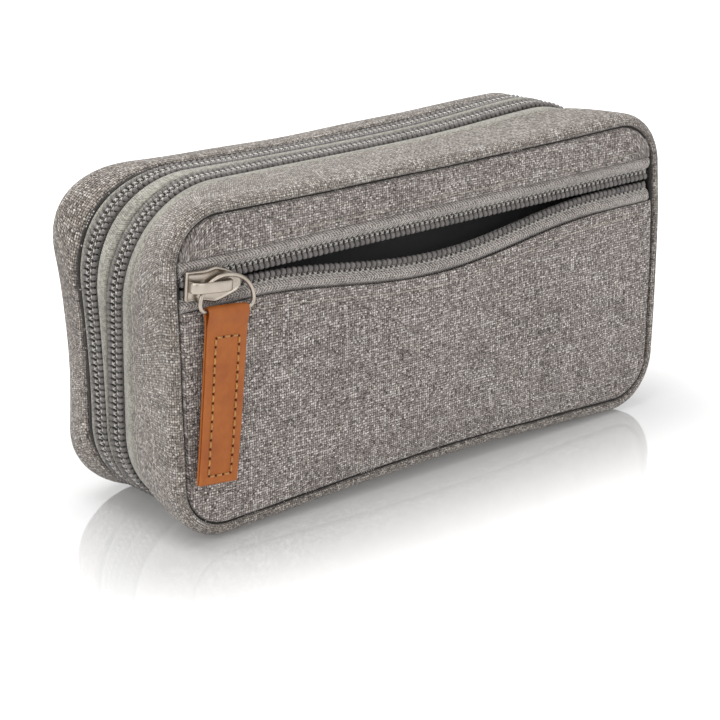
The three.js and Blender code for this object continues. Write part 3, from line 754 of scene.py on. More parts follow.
def panel_grid(x, low, high, crown, seam, rows, free_top):
    """A crowned grid between two edges; seam is how deep its sewn edges sink.

    Depth is FACE_Y - crown * (1 - a^4)(1 - b^4) + seam * (1 - sqrt(1 - (1 - d)^2)), where a
    and b run from -1 to 1 across the panel, and d is the distance to the nearest sewn edge
    over SEAM_REACH, at most one. The top edge is free where free_top is one.
    """
    share = (1 - np.cos(np.linspace(0, math.pi, rows))) / 2
    z = low + (high - low) * share[:, None]
    half = np.abs(x).max()
    a = x / half
    b = 2 * share[:, None] - 1
    to_high = high - z + free_top * FAR
    nearest = np.minimum(np.minimum(z - low, to_high), half - np.abs(x))
    bulge = crown * (1 - a ** 4) * (1 - np.clip(b, -1, 1 - free_top) ** 4)
    sink = seam * (1 - np.sqrt(1 - (1 - np.clip(nearest / SEAM_REACH, 0, 1)) ** 2))
    ripple = uneven(x * 1.3, x * 0.4, z * 1.6) * UNEVENNESS
    return together(x, FACE_Y - bulge + sink + ripple, z)


def fold_back(grid, radius, depth):
    """Adds rows that turn the top edge over backwards by a half circle and run down behind it."""
    top = grid[-1]
    turn = np.linspace(0, math.pi, 8)[1:, None]
    arc = together(top[:, 0], top[:, 1] + radius - radius * np.cos(turn), top[:, 2] + radius * np.sin(turn))
    tail = arc[-1:].copy()
    tail[..., 2] -= depth
    return np.concatenate([grid, arc, tail])


def column_uv(grid):
    """U is x, and V is the height of a column's foot plus the length along the column."""
    length = running_length(grid, 0, False)
    return together(grid[..., 0], grid[:1, :, 2] + length)


PANEL_CROWN = 1.3 * MM
UPPER_CROWN = 0.7 * MM
SEAM_SINK = 2.0 * MM
FOLD_RADIUS = 0.75 * MM
FOLD_TAIL = 6 * MM
LEAN_START = 35 * MM  # the height from which the pocket panel leans towards its open lip
LEAN_LEAD = 4 * MM

pocket_x = spread_columns(CASE_LENGTH / 2 - PANEL_INSET, 170)
pocket_low = edge_heights(pocket_x, PANEL_INSET)[1]
pocket_high = WINDOW_BOTTOM - FOLD_RADIUS - lip_sag(pocket_x)
pocket_grid = panel_grid(pocket_x, pocket_low, pocket_high, PANEL_CROWN, SEAM_SINK, 84, 1.0)
lip_forward = lip_bulge(pocket_grid[..., 0])
towards_lip = smooth_step(LEAN_START, WINDOW_BOTTOM - LEAN_LEAD, pocket_grid[..., 2] + LEAN_LEAD)
pocket_grid[..., 1] -= lip_forward * towards_lip
pocket_fold = fold_back(pocket_grid, FOLD_RADIUS, FOLD_TAIL)
pocket_panel = grid_piece("front_pocket_cloth", settle(pocket_fold), uv=column_uv(pocket_fold))

upper_half = face_end(WINDOW_TOP + 2 * MM, PANEL_INSET)
upper_x = spread_columns(upper_half, 170)
upper_high = edge_heights(upper_x, PANEL_INSET)[0]
upper_low = WINDOW_TOP + FOLD_RADIUS
upper_grid = panel_grid(
    upper_x, CASE_HEIGHT - upper_high, CASE_HEIGHT - upper_low, UPPER_CROWN, SEAM_SINK, 30, 1.0,
)
upper_grid[..., 2] = CASE_HEIGHT - upper_grid[..., 2]
upper_fold = fold_back(upper_grid * [1, 1, -1], FOLD_RADIUS, FOLD_TAIL) * [1, 1, -1]
upper_panel = grid_piece("front_upper_cloth", settle(upper_fold), uv=column_uv(upper_fold))


def thicken(piece, thickness):
    """Gives a single surface the thickness of its cloth, on the inner side."""
    solid = piece.modifiers.new("cloth_thickness", "SOLIDIFY")
    solid.thickness = thickness
    solid.offset = -1.0


PANEL_CLOTH = 0.5 * MM
thicken(pocket_panel, PANEL_CLOTH)
thicken(upper_panel, PANEL_CLOTH)
dress(pocket_panel, panel_cloth, "front_lid", "front_pocket_panel")
dress(upper_panel, panel_cloth, "front_lid", "front_upper_panel")
print("front panels", len(pocket_panel.data.polygons), len(upper_panel.data.polygons), "faces")

# %% [markdown]
# ## The back lid
#
# The back is softer and rounder than the front: its gusset bends in a quarter circle to a
# seam on the back face, and the panel inside that seam carries the same curve on to a gently
# crowned middle. The distance to the rounded outline decides the depth of each point, so
# gusset and panel meet without a step.

# %% Shape of the back
BACK_EDGE = 17 * MM  # width and depth of the quarter circle
BACK_SEAM_INSET = 10 * MM
BACK_CROWN = 1.4 * MM
CROWN_REACH = 14 * MM
BACK_SINK = 1.6 * MM  # depth of the panel's edge in its seam
SINK_REACH = 1.2 * MM
BACK_CORNER_SHARE = 0.55  # of the way from the zips' corners to the tighter face corners
BACK_ARC_START_Y = BACK_Y - BACK_EDGE
BACK_HEM_Y = BACK_START_Y - 0.5 * MM
BACK_TOP_RADIUS = TOP_RADIUS + (FACE_RADIUS - TOP_RADIUS) * BACK_CORNER_SHARE
BACK_BOTTOM_RADIUS = BOTTOM_RADIUS + (FACE_RADIUS - BOTTOM_RADIUS) * BACK_CORNER_SHARE


def outline_distance(x, z):
    """How far inside the outline a point lies: r minus the length past the corner's centre."""
    radius = np.where(z > CASE_HEIGHT / 2, BACK_TOP_RADIUS, BACK_BOTTOM_RADIUS)
    past_x = np.abs(x) - (CASE_LENGTH / 2 - radius)
    past_z = np.abs(z - CASE_HEIGHT / 2) - (CASE_HEIGHT / 2 - radius)
    outside = np.hypot(np.maximum(past_x, 0), np.maximum(past_z, 0))
    return radius - outside - np.minimum(np.maximum(past_x, past_z), 0)


def back_depth(inset):
    """BACK_Y - E (1 - sqrt(1 - (1 - inset / E)^2)), where E is BACK_EDGE, and flat past it."""
    share = np.clip(inset / BACK_EDGE, 0, 1)
    return BACK_Y - BACK_EDGE * (1 - np.sqrt(1 - (1 - share) ** 2))


def back_gusset_profile():
    """Rows of (y, inset, face share): folded hem, arc to the seam, then inside."""
    last = math.acos(1 - BACK_SEAM_INSET / BACK_EDGE)
    angle = np.linspace(0, last, 16)[1:]
    share = angle / last
    y = BACK_ARC_START_Y + BACK_EDGE * np.sin(angle)
    bulge = BACK_CROWN * np.sin(math.pi * share)
    corner = BACK_CORNER_SHARE * smooth_step(0, 0.5, share)
    wall = together(y + bulge * np.sin(angle), BACK_EDGE * (1 - np.cos(angle)) - bulge, corner)
    seam = np.array([
        (wall[-1, 0] - 0.7 * MM, BACK_SEAM_INSET + 0.5 * MM, BACK_CORNER_SHARE),
        (wall[-1, 0] - WALL, BACK_SEAM_INSET, BACK_CORNER_SHARE),
    ])
    inside = wall[:-1][::-3] - [WALL, 0, 0]
    inside[:, 1] = np.maximum(inside[:, 1], WALL)
    inner_hem = np.array([(BACK_HEM_Y, WALL - HEM_RADIUS / 2, 0.0)])
    inside = inside[inside[:, 0] > BACK_HEM_Y + 1 * MM]
    return np.concatenate([folded_hem(BACK_HEM_Y, 1), wall, seam, inside, inner_hem])


# %% Back gusset and back panel
back_gusset = closed_ring("back_gusset_cloth", wrinkle(loft(back_gusset_profile())))
dress(back_gusset, gusset_cloth, "back_lid", "back_gusset")

BACK_PANEL_INSET = BACK_SEAM_INSET + 0.2 * MM
back_x = spread_columns(CASE_LENGTH / 2 - BACK_PANEL_INSET, 120)
back_high, back_low = edge_heights(back_x, BACK_PANEL_INSET, BACK_TOP_RADIUS, BACK_BOTTOM_RADIUS)
back_share = (1 - np.cos(np.linspace(0, math.pi, 70))) / 2
back_z = back_low + (back_high - back_low) * back_share[:, None]
inset = outline_distance(back_x, back_z)
from_seam = inset - BACK_PANEL_INSET
back_y = back_depth(inset) - BACK_SINK * np.exp(-(from_seam / SINK_REACH) ** 2)
back_y += BACK_CROWN * (1 - np.exp(-from_seam / CROWN_REACH))
back_y += uneven(back_x, back_x * 0.5, back_z * 1.4) * UNEVENNESS
back_grid = together(back_x, back_y, back_z)
back_panel = grid_piece("back_panel_cloth", settle(back_grid), uv=column_uv(back_grid))
dress(back_panel, gusset_cloth, "back_lid", "back_panel")
thicken(back_panel, PANEL_CLOTH)
print("back lid", len(back_gusset.data.polygons), len(back_panel.data.polygons), "faces")

# %% [markdown]
# ## Smooth sage cloth
#
# The band between the zips and the tapes beside them are smoother and greener than the
# weave, with ribs that slant one way and then the other. The ribs are a sine of the running
# length whose phase folds back and forth across, and a little random grain keeps them from
# looking printed.


# %% Zip tape material
def tape_material(name, colour, light, rib, contrast):
    """Herringbone tape: sin(2 pi (u + 0.8 |v|) / rib), where |v| folds every few millimetres."""
    shader = Shader(name, colour, 0.85, sheen=0.3)
    u, v = shader.cloth_uv()
    folded = shader.math("PINGPONG", v, 2.6 * MM)
    lean = shader.scaled(folded, 0.8, u)
    ribs = shader.scaled(shader.wave(lean, rib), 0.5, 0.5)
    height = shader.scaled(shader.wave(v, rib * 0.7), 0.2, ribs)
    grain_u = shader.floor(shader.over(u, 0.5 * MM))
    grain_v = shader.floor(shader.over(v, 0.45 * MM))
    grain = shader.random(shader.vector(grain_u, grain_v))
    tone = shader.noise(shader.vector(u, v), 90.0, 2.0)
    # The ribs' height also sets the colour, darker in the troughs: painted shade, mixed with random grain
    # and tone.
    shade = shader.plus(shader.times(height, contrast), shader.times(grain, 0.35))
    shade = shader.plus(shade, shader.scaled(tone, 0.3, 0.175 - contrast / 2))
    shader.tint(shade, 0.15, 0.85, colour, light)
    shader.bump(height, contrast * 0.5 * MM, 0.8)
    return shader.material


zip_tape = tape_material("zip_tape_cloth", "65625b", "b3b0a4", rib=0.7 * MM, contrast=0.2)
print("tape ready")

# %% [markdown]
# ## The middle band, its foot and the hinges
#
# Between the two zips runs a narrow strip of the same cloth, a crowned ring. Under it is the
# foot that the case stands on, and a strip on each side of the foot lets the lids turn. Foot
# and hinges are flat padded strips, each a rounded section carried along X. The hinge strips
# are baked in place and attached to no body.

# %% Middle band
FOOT_INSET = 43.3 * MM  # from the case's ends to the foot's
BAND_FRONT_Y = 2.5 * MM
BAND_BACK_Y = 5.1 * MM


def band_profile():
    """A flattened oval: y = middle + half cos a, inset = depth (1 - sin a), once round."""
    angle = full_turn(16)
    middle = (BAND_FRONT_Y + BAND_BACK_Y) / 2
    half = (BAND_BACK_Y - BAND_FRONT_Y) / 2
    return together(middle + half * blunted(np.cos(angle), 0.6), WALL / 2 * (1 - np.sin(angle)), 0.0)


band = closed_ring("middle_band_cloth", loft(band_profile()))


STRIP_BLUNT = 0.45
STRIP_NARROWING = 0.15  # share of its width that a strip loses at its very ends


def padded_strip(name, low, high):
    """A strip along X: y, z = middle + half * (cos a, sin a)^STRIP_BLUNT, with tapered ends."""
    angle = full_turn(20)[:, None]
    middle = (low + high) / 2
    half = (high - low) / 2
    turn = np.linspace(-math.pi / 2, math.pi / 2, 60)
    x = middle[0] + half[0] * np.sin(turn)
    end = np.minimum(half[0] - np.abs(x - middle[0]), WALL) / WALL
    size = np.sqrt(np.clip(1 - (1 - end) ** 2, 0, 1))
    y = middle[1] + half[1] * blunted(np.cos(angle), STRIP_BLUNT) * (1 - STRIP_NARROWING * (1 - size))
    z = middle[2] + half[2] * blunted(np.sin(angle), STRIP_BLUNT) * size
    return grid_piece(name, together(x, y, z), wrap_rows=True)


foot_high = np.array([BAND_HIGH[0] - FOOT_INSET, BAND_HIGH[1], BAND_LOW[2] + WALL])
foot = padded_strip("middle_foot_cloth", BAND_LOW + FOOT_INSET * X_AXIS, foot_high)
dress(band, zip_tape, "divider", "middle_band")
dress(foot, gusset_cloth, "divider")

for side, lid in ((-1, "front_lid"), (1, "back_lid")):
    node = lid.replace("_lid", "_hinge_strip")
    low, high = box_low_high(node)
    hinge = padded_strip(lid.replace("_lid", "_hinge_cloth"), low, high)
    hinge.data.materials.append(gusset_cloth)
    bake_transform(hinge)
    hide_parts(node)
print("band", len(band.data.polygons), "faces, foot", round(BAND_HIGH[1] - BAND_LOW[1], 4), "wide")

# %% [markdown]
# ## Zip rows
#
# A coil zip has a nylon coil on each side. From outside each turn is a short rounded bar with
# a fatter head towards the middle of the chain, and light stitches hold it to the tape. One
# bar and its stitches are modelled with a few dozen faces and stamped at every pitch.

# %% Stamping copies along a path
COIL_PITCH = 2.1 * MM
ROW_GAP = 0.12 * MM
COIL_DEPTH = 2.0 * MM


def even_places(path, pitch):
    """Points and unit tangents at every pitch along a polyline (n, 3), by its running length."""
    length = run_of(path)
    places = (np.arange(int(length[-1] / pitch)) + 0.5) * pitch
    reach = pitch / 2
    points, before, after = (
        np.stack([np.interp(places + shift, length, path[:, k]) for k in range(3)], axis=-1)
        for shift in (0, -reach, reach)
    )
    return points, unit(after - before)


def bar_template(stations, sides=6):
    """A closed bar of quads from rows of (along, across, out, half width, half height).

    Each row is a section: half width * cos a along and half height * sin a out. The faces are
    turned where the rows run against the across direction.
    """
    stations = np.asarray(stations, float)
    angle = full_turn(sides)
    along = stations[:, :1] + stations[:, 3:4] * np.cos(angle)
    out = stations[:, 2:3] + stations[:, 4:5] * np.sin(angle)
    points = together(along, stations[:, 1:2], out).reshape(-1, 3)
    faces = grid_faces(len(stations), sides, False, True)[0]
    last = (len(stations) - 1) * sides
    halves = [(k, k + 1, sides - 2 - k, sides - 1 - k) for k in range(sides // 2 - 1)]
    caps = [tuple(reversed(cap)) for cap in halves]
    caps += [tuple(last + corner for corner in cap) for cap in halves]
    faces = np.concatenate([faces, np.array(caps)])
    if stations[-1, 1] < stations[0, 1]:
        faces = faces[:, ::-1]
    return points, faces


def stamp(name, template, places, along, across, out):
    """Copies of a template: place + a * along + c * across + o * out, as one mesh.

    Where these directions are right-handed, the faces are turned, so that they point outwards.
    """
    points, faces = template
    if np.linalg.det(np.stack([along[0], across[0], out[0]])) > 0:
        faces = faces[:, ::-1]
    copies = (
        places[:, None]
        + points[None, :, 0:1] * along[:, None]
        + points[None, :, 1:2] * across[:, None]
        + points[None, :, 2:3] * out[:, None]
    )
    offsets = np.arange(len(places))[:, None, None] * len(points)
    return make_object(name, copies, (faces[None] + offsets).reshape(-1, 4))


OPEN_TOOTH = bar_template(np.array([
    (0.00, 3.40, -0.75, 0.30, 0.26),
    (0.00, 3.00, -0.65, 0.55, 0.45),
    (0.00, 2.10, -0.50, 0.66, 0.55),
    (0.00, 1.65, 0.05, 0.84, 0.95),
    (0.00, 0.90, 0.20, 0.92, 1.15),
    (0.00, 0.10, 0.05, 0.88, 1.00),
    (0.00, -0.25, -0.10, 0.40, 0.50),
]) * MM, 8)
TOOTH = bar_template(np.array([
    (0.42, 3.50, -0.30, 0.35, 0.35),
    (0.40, 3.30, -0.05, 0.78, 0.80),
    (0.30, 2.80, 0.20, 0.93, 1.05),
    (0.15, 2.10, 0.15, 0.90, 1.00),
    (-0.05, 1.60, -0.35, 0.62, 0.60),
    (-0.22, 0.60, -0.60, 0.55, 0.45),
    (-0.30, 0.05, -0.65, 0.32, 0.30),
]) * MM, 8)


def stitch_template(slant, start, end, radius):
    """A thread that leans from start to end across the row, lying on top of the turns."""
    share = np.linspace(0, 1, 5)
    along = slant * (share - 0.5)
    across = start + (end - start) * share
    out = 0.05 * MM + 0.35 * MM * np.sin(math.pi * share)
    thick = radius * np.sqrt(np.clip(np.sin(math.pi * (0.08 + 0.84 * share)), 0, 1))
    return bar_template(together(along, across, out, thick, thick), 4)


print("one turn of coil has", len(TOOTH[1]), "faces")


# %% Nylon and thread materials
def nylon_material(name, colour, roughness=0.42):
    """Moulded nylon: slow changes of tone from turn to turn and a fine drawn surface."""
    shader = Shader(name, colour, roughness)
    place = shader.object_place()
    tone = shader.noise(place, 420.0, 2.0)
    fine = shader.noise(place, 3500.0, 2.0)
    shader.shade(colour, shader.span(tone, 0.3, 0.7, 0.72, 1.25))
    shader.set("Specular IOR Level", 0.55)
    shader.bump(fine, 0.04 * MM, 0.5)
    return shader.material


def thread_material(name, colour, gloss=1.0):
    """Twisted polyester thread: a fine slanted ribbing and a little sheen."""
    shader = Shader(name, colour, 0.6, sheen=0.3 * gloss)
    shader.set("Specular IOR Level", 0.5 * gloss)
    place = shader.object_place()
    twist = shader.node("ShaderNodeTexWave", {"Vector": place, "Scale": 900.0, "Distortion": 1.5}, output=1)
    tone = shader.noise(place, 600.0, 2.0)
    shader.shade(colour, shader.span(tone, 0.25, 0.75, 0.8, 1.2))
    shader.bump(twist, 0.05 * MM, 0.6)
    return shader.material


coil_nylon = nylon_material("coil_nylon", "6a6664")
zip_thread = thread_material("zip_stitch_thread", "c3bfb9")
print("nylon and thread ready")


# %% A row of coil and its stitches
STITCH_LEAN = 1.2 * MM
STITCH_RADIUS = 0.31 * MM


def coil_row(name, tooth, places, along, across, out, body, stitch_start, stitch_end):
    """The turns of one row and, over each, a rising and a falling thread."""
    coil = stamp(f"{name}_coil_turns", tooth, places, along, across, out)
    dress(coil, coil_nylon, body, f"{name}_coil")
    rising = stitch_template(STITCH_LEAN, stitch_start, stitch_end, STITCH_RADIUS)
    falling = stitch_template(-STITCH_LEAN, stitch_start, stitch_end, STITCH_RADIUS)
    pair = (
        np.concatenate([rising[0], falling[0] + [0, 0, 0.03 * MM]]),
        np.concatenate([rising[1], falling[1] + len(rising[0])]),
    )
    dress(stamp(f"{name}_coil_stitches", pair, places, along, across, out), zip_thread, body)


# %% Main zips
ZIP_END_X = 62 * MM


def zip_path(inset, y):
    """The open path of a main zip: along the outline from one end under the case to the other."""
    flat = case_outline(inset)[0][: 1 - LONG_STEPS]
    ends = np.array([[-ZIP_END_X, inset], [ZIP_END_X, inset]])
    flat = np.concatenate([ends[:1], flat, ends[1:]])
    return settle(together(flat[:, 0], y, flat[:, 1]))


def dress_zip_row(name, centre, side, body, tape_profile):
    """One side of a main zip: its tape, its turns of coil and its stitches."""
    rows = np.array([zip_path(inset, centre + side * out) for out, inset in tape_profile])
    dress(closed_strip(f"{name}_tape_cloth", rows), zip_tape, body, f"{name}_tape")

    path = zip_path(COIL_DEPTH / 2, centre + side * ROW_GAP)
    places, along = even_places(path, COIL_PITCH)
    if side > 0:
        places = places + along * COIL_PITCH / 2
    across = np.broadcast_to([0.0, side, 0.0], places.shape)
    out = together(-along[:, 2], 0 * along[:, 0], along[:, 0])
    coil_row(name, TOOTH, places, along, across, out, body, 0.3 * MM, 1.75 * MM)
    return len(places)


FRONT_TAPE = np.array([
    (0.7, 2.6), (3.4, 1.9), (4.0, 1.2), (5.2, 0.75),
    (7.6, 0.3), (9.1, 0.5), (10.2, 1.6), (10.6, 2.6),
    (10.6, 3.2), (0.7, 3.2),
]) * MM
BACK_TAPE = np.array([
    (0.7, 2.6), (3.4, 1.9), (4.0, 1.1), (4.8, 0.8),
    (5.6, 1.6), (6.2, 2.6), (6.2, 3.2), (0.7, 3.2),
]) * MM
BAND_TAPE = np.array([
    (0.7, 2.6), (3.4, 2.0), (4.1, 1.2), (5.2, 0.8),
    (5.2, 3.2), (0.7, 3.2),
]) * MM
for zip_name, to_lid, lid_tape in (("front_zip", -1, FRONT_TAPE), ("back_zip", 1, BACK_TAPE)):
    coil_low, coil_high = box_low_high(f"{zip_name}_lid_coil")
    inner_low, inner_high = box_low_high(f"{zip_name}_divider_coil")
    centre = (min(coil_low[1], inner_low[1]) + max(coil_high[1], inner_high[1])) / 2
    lid = zip_name.replace("_zip", "_lid")
    turns = dress_zip_row(f"{zip_name}_lid", centre, to_lid, lid, lid_tape)
    dress_zip_row(f"{zip_name}_divider", centre, -to_lid, "divider", BAND_TAPE)
    print(zip_name, "at y", round(centre, 4), "has", turns, "turns a side")

# %% [markdown]
# ## The pocket zip
#
# The pocket zip's tapes are sewn behind the two panels. The upper one runs straight, and the
# lower one hangs with the open lip. Each is a thin strip that swells out between the coil
# and the panel, and the coil's turns are stamped along the edge of the mouth.

# %% Pocket zip tapes and rows
pocket_tape = tape_material("pocket_tape_cloth", "605955", "d2cac4", rib=1.1 * MM, contrast=0.4)
POCKET_END_X = TAPE_HIGH[0]
ROW_HALF_GAP = TAPE_LOW[2] - ZIP_CENTRE
TAPE_Y = (TAPE_LOW[1] + TAPE_HIGH[1]) / 2
POCKET_TAPE = np.array([  # (distance from the zip's middle, distance in front of the CAD tape)
    (1.2, 0.1), (3.6, 0.5), (4.2, 1.5), (5.4, 2.1), (6.8, 2.2), (7.8, 1.5), (8.4, 0.5), (9.8, 0.1),
    (9.8, -0.4), (1.2, -0.4),
]) * MM
TAPE_FRONT = POCKET_TAPE[:6]  # the rows that face outwards, in order of distance


SEWN_AT = 3.35 * MM
DASH = bar_template(np.array([
    (-0.28, -0.95, -0.05, 0.10, 0.10),
    (-0.20, -0.60, 0.20, 0.26, 0.24),
    (0.00, 0.00, 0.28, 0.30, 0.28),
    (0.20, 0.60, 0.20, 0.26, 0.24),
    (0.28, 0.95, -0.05, 0.10, 0.10),
]) * MM)
mouth_x = np.linspace(-POCKET_END_X, POCKET_END_X, 160)
for side, name in ((1, "pocket_zip_upper"), (-1, "pocket_zip_lower")):
    hangs = 1.0 if side < 0 else 0.0
    z = ZIP_CENTRE + side * POCKET_TAPE[:, :1] - hangs * lip_sag(mouth_x)
    y = TAPE_Y - POCKET_TAPE[:, 1:] - hangs * lip_bulge(mouth_x)
    tape = closed_strip(f"{name}_tape_cloth", together(mouth_x, y, z))
    dress(tape, pocket_tape, "front_lid", f"{name}_tape")

    coil_low, coil_high = box_low_high(f"{name}_coil")
    edge_z = ZIP_CENTRE + side * ROW_HALF_GAP - hangs * lip_sag(mouth_x)
    coil_y = (coil_low[1] + coil_high[1]) / 2
    edge_y = coil_y - hangs * lip_bulge(mouth_x)
    path = together(mouth_x, edge_y, edge_z)
    places, along = even_places(path, COIL_PITCH)
    out = np.broadcast_to([0.0, -1.0, 0.0], places.shape)
    across = np.cross(along, out)
    across *= side * np.sign(across[:, 2:])
    coil_row(name, OPEN_TOOTH, places, along, across, out, "front_lid", 1.9 * MM, 3.0 * MM)
    lifted = np.interp(ROW_HALF_GAP + SEWN_AT, *TAPE_FRONT.T) + coil_y - TAPE_Y
    sewn = places + across * SEWN_AT + out * lifted
    dashes = stamp(f"{name}_tape_stitches", DASH, sewn, across, along, out)
    dress(dashes, zip_thread, "front_lid")
print("pocket zip has", len(places), "turns a side")

# %% [markdown]
# ## Seams and topstitching
#
# Small things make the case look sewn: a dark line where a panel is set into its gusset, and
# light thread where folds are held down. The dark line is painted shade: a narrow strip of
# near-black cloth laid in the seam's gap. A row of stitches is one little rod of thread
# stamped along a path.

# %% Painted seam shade
# Near-black cloth in the seams and the back groove: painted shade in those gaps.
painted_seam_shade = weave_material("painted_seam_shade_cloth", "15120f", "221e1a", "332d28", 0.5 * MM, 0.1 * MM)


def seam_shade_ring(name, middle_y, inset, half_depth, half_width, share, body):
    """A near-black oval round the case, painted shade in a seam.

    y = middle + depth cos a, inset = middle + width sin a.
    """
    angle = full_turn(8)
    profile = together(middle_y + half_depth * np.cos(angle), inset + half_width * np.sin(angle), share)
    dress(closed_ring(name, loft(profile)), painted_seam_shade, body)


SEAM_SHADE_SIZE = (0.5 * MM, 0.9 * MM)  # half depth and half width
GROOVE_SHADE_SIZE = (1.1 * MM, 1.1 * MM)
FRONT_SEAM = (FACE_Y + 1.6 * MM, TURNED_EDGE + 0.4 * MM)  # y and inset of each ring's middle
BACK_SEAM = (BACK_Y - 3.4 * MM, BACK_SEAM_INSET + 0.2 * MM)
BACK_GROOVE = (BACK_HEM_Y - 0.5 * MM, 2.1 * MM)
# Painted shade in the front seam, the back seam and the groove beside the back zip's tape.
seam_shade_ring("front_seam_shade", *FRONT_SEAM, *SEAM_SHADE_SIZE, 1.0, "front_lid")
seam_shade_ring("back_seam_shade", *BACK_SEAM, *SEAM_SHADE_SIZE, BACK_CORNER_SHARE, "back_lid")
seam_shade_ring("back_groove_shade", *BACK_GROOVE, *GROOVE_SHADE_SIZE, 0.0, "back_lid")
print("seams bound")

# %% Rows of stitches
top_thread = thread_material("topstitch_thread", "b4aea2")
HEM_STITCH = (3.3 * MM, 2.7 * MM, 0.2 * MM)  # pitch, length and radius
LIP_STITCH = (3.4 * MM, 2.8 * MM, 0.16 * MM)
STITCH_STAND = 0.15 * MM  # in front of the face


def thread_rod(length, radius):
    """One stitch: a rod along the path whose ends sink into the cloth."""
    share = np.linspace(-1, 1, 5)
    along = share * length / 2
    lift = radius * (1 - 1.6 * share ** 4)
    points, faces = bar_template(together(0.0, along, lift, radius, radius))
    return points[:, [1, 0, 2]], faces[:, ::-1]


def stitch_line(name, path, out, pitch, length, radius, thread, body, slot):
    """Stitches along a path, with one outward direction or one for each point."""
    places, along = even_places(path, pitch)
    if np.ndim(out) > 1:
        out = out[np.linspace(0, len(path) - 1, len(places)).round().astype(int)]
    out = unit(out - along * np.sum(out * along, axis=1, keepdims=True))  # square to the path
    line = stamp(name, thread_rod(length, radius), places, along, np.cross(out, along), out)
    dress(line, thread, body)


def hem_stitches(name, y, inset, share, body):
    """A row of stitches round a gusset, on the same settled and wrinkled surface."""
    ring = wrinkle(loft([[y, inset, share]]))[0]
    ring = np.concatenate([ring, ring[:1]])
    step = np.gradient(ring, axis=0)
    out = together(-step[:, 2], 0 * step[:, 0], step[:, 0])
    stitch_line(name, ring, out, *HEM_STITCH, top_thread, body, "cloth")


hem_share = STITCH_LINE / (HEM_START_Y - FACE_Y - TURNED_EDGE)
hem_inset = STITCH_DIP - CROWN * math.sin(math.pi * hem_share)
hem_turn = hem_share ** SHARE_POWER
hem_stitches("front_hem_stitches", HEM_START_Y - STITCH_LINE, hem_inset, hem_turn, "front_lid")

LIP_STITCH_DROP = 3.6 * MM
stitch_x = np.linspace(-96 * MM, 96 * MM, 200)
lower_z = WINDOW_BOTTOM - LIP_STITCH_DROP - lip_sag(stitch_x)
lower_bulge = PANEL_CROWN * 0.95 * (1 - (stitch_x / pocket_x.max()) ** 4) + lip_bulge(stitch_x) * 0.85
upper_z = WINDOW_TOP + LIP_STITCH_DROP * 0.75
upper_bulge = 0.55 * MM * (1 - (stitch_x / upper_x.max()) ** 4)
for edge, z, bulge in (("lower", lower_z, lower_bulge), ("upper", upper_z, upper_bulge)):
    y = FACE_Y - STITCH_STAND + uneven(stitch_x * 1.3, stitch_x * 0.4, z * 1.6) * UNEVENNESS - bulge
    path = settle(together(stitch_x, y, z))
    name = f"{edge}_lip_stitches"
    stitch_line(name, path, -Y_AXIS, *LIP_STITCH, top_thread, "front_lid", "cloth")
print("topstitches sewn")

# %% [markdown]
# ## Metal and leather
#
# The sliders and rings are satin nickel: a metallic shader with faint drawn lines and duller
# places in its roughness. The pulls are smooth tan leather with a fine pebbled grain, slow
# changes of tone and small dark pores.


# %% Nickel and leather materials
def nickel_material(name, colour, roughness):
    """Satin nickel: stretched noise draws the brushing, and slow noise dulls it in places."""
    shader = Shader(name, colour, roughness, metallic=1.0)
    place = shader.object_place()
    stretch = shader.node("ShaderNodeMapping", {"Vector": place, "Scale": (300.0, 2600.0, 2600.0)})
    brushed = shader.noise(stretch, 1.0, 3.0)
    handled = shader.noise(place, 160.0, 3.0)
    gloss = shader.scaled(brushed, 0.14, roughness - 0.1)
    shader.set("Roughness", shader.scaled(handled, 0.12, gloss))
    shader.tint(handled, 0.35, 0.75, colour, "9b9287")
    shader.bump(brushed, 0.03 * MM, 0.4)
    return shader.material


def leather_material(name, colour, dark, light):
    """Tan leather: pebbles from cells, tone from slow noise, and small dark pores."""
    shader = Shader(name, colour, 0.48)
    place = shader.vector(*shader.cloth_uv())
    pebbles = shader.cells(place, 1500.0, "SMOOTH_F1")
    pores = shader.noise(place, 2400.0, 3.0, 0.6)
    slow = shader.noise(place, 70.0, 3.0, 0.55)
    blotch = shader.noise(place, 320.0, 3.0)
    tone = shader.plus(shader.times(slow, 0.65), shader.times(blotch, 0.35))
    shaded = shader.mix(shader.span(tone, 0.3, 0.72), linear(dark), linear(light))
    speck = shader.span(pores, 0.6, 0.75)
    shaded = shader.mix(shader.times(speck, 0.25), shaded, linear(dark))
    shader.set("Base Color", shaded)
    shader.set("Roughness", shader.scaled(pores, 0.2, 0.36))
    grain = shader.scaled(pores, 0.5, shader.math("SUBTRACT", 1.0, pebbles))
    shader.set("Specular IOR Level", 0.38)
    shader.bump(grain, 0.09 * MM, 0.6)
    return shader.material


nickel = nickel_material("satin_nickel", "aca398", 0.3)
tan_leather = leather_material("tan_leather", "a85d20", "9d521a", "b16423")
pull_thread = thread_material("pull_thread", "b88242")
# Dark brown rods at each needle hole of the pulls: painted shade inside the hole.
hole_shade_material = thread_material("needle_holes", "55290f", gloss=0.2)
print("metal and leather ready")

# %% [markdown]
# ## Sliders, bridges and rings
#
# A slider is an outer plate with a round nose, an inner plate behind the tapes, and a post
# between them. A wire ring bent to a D hangs in the bridge on top. The plates are outlines
# drawn in towards a spine while they rise, which gives the bevelled rim and the slight dome.
# The bridge and the ring are sections carried along a curve.

# %% Slider frames and shapes
SEAT_GAP = 0.3 * MM
PLATE = 1.4 * MM


def slider_seat(node, along, across, outward):
    """A slider's seat on the face of the coil, and its length, width and depth."""
    low, high = box_low_high(node)
    directions = np.array([along, across, outward], float)
    middle = (low + high) / 2
    length, width, depth = np.abs(directions @ (high - low))
    origin = middle + directions[2] * (depth / 2 - SEAT_GAP - PLATE)
    return (origin, directions), length, width, depth


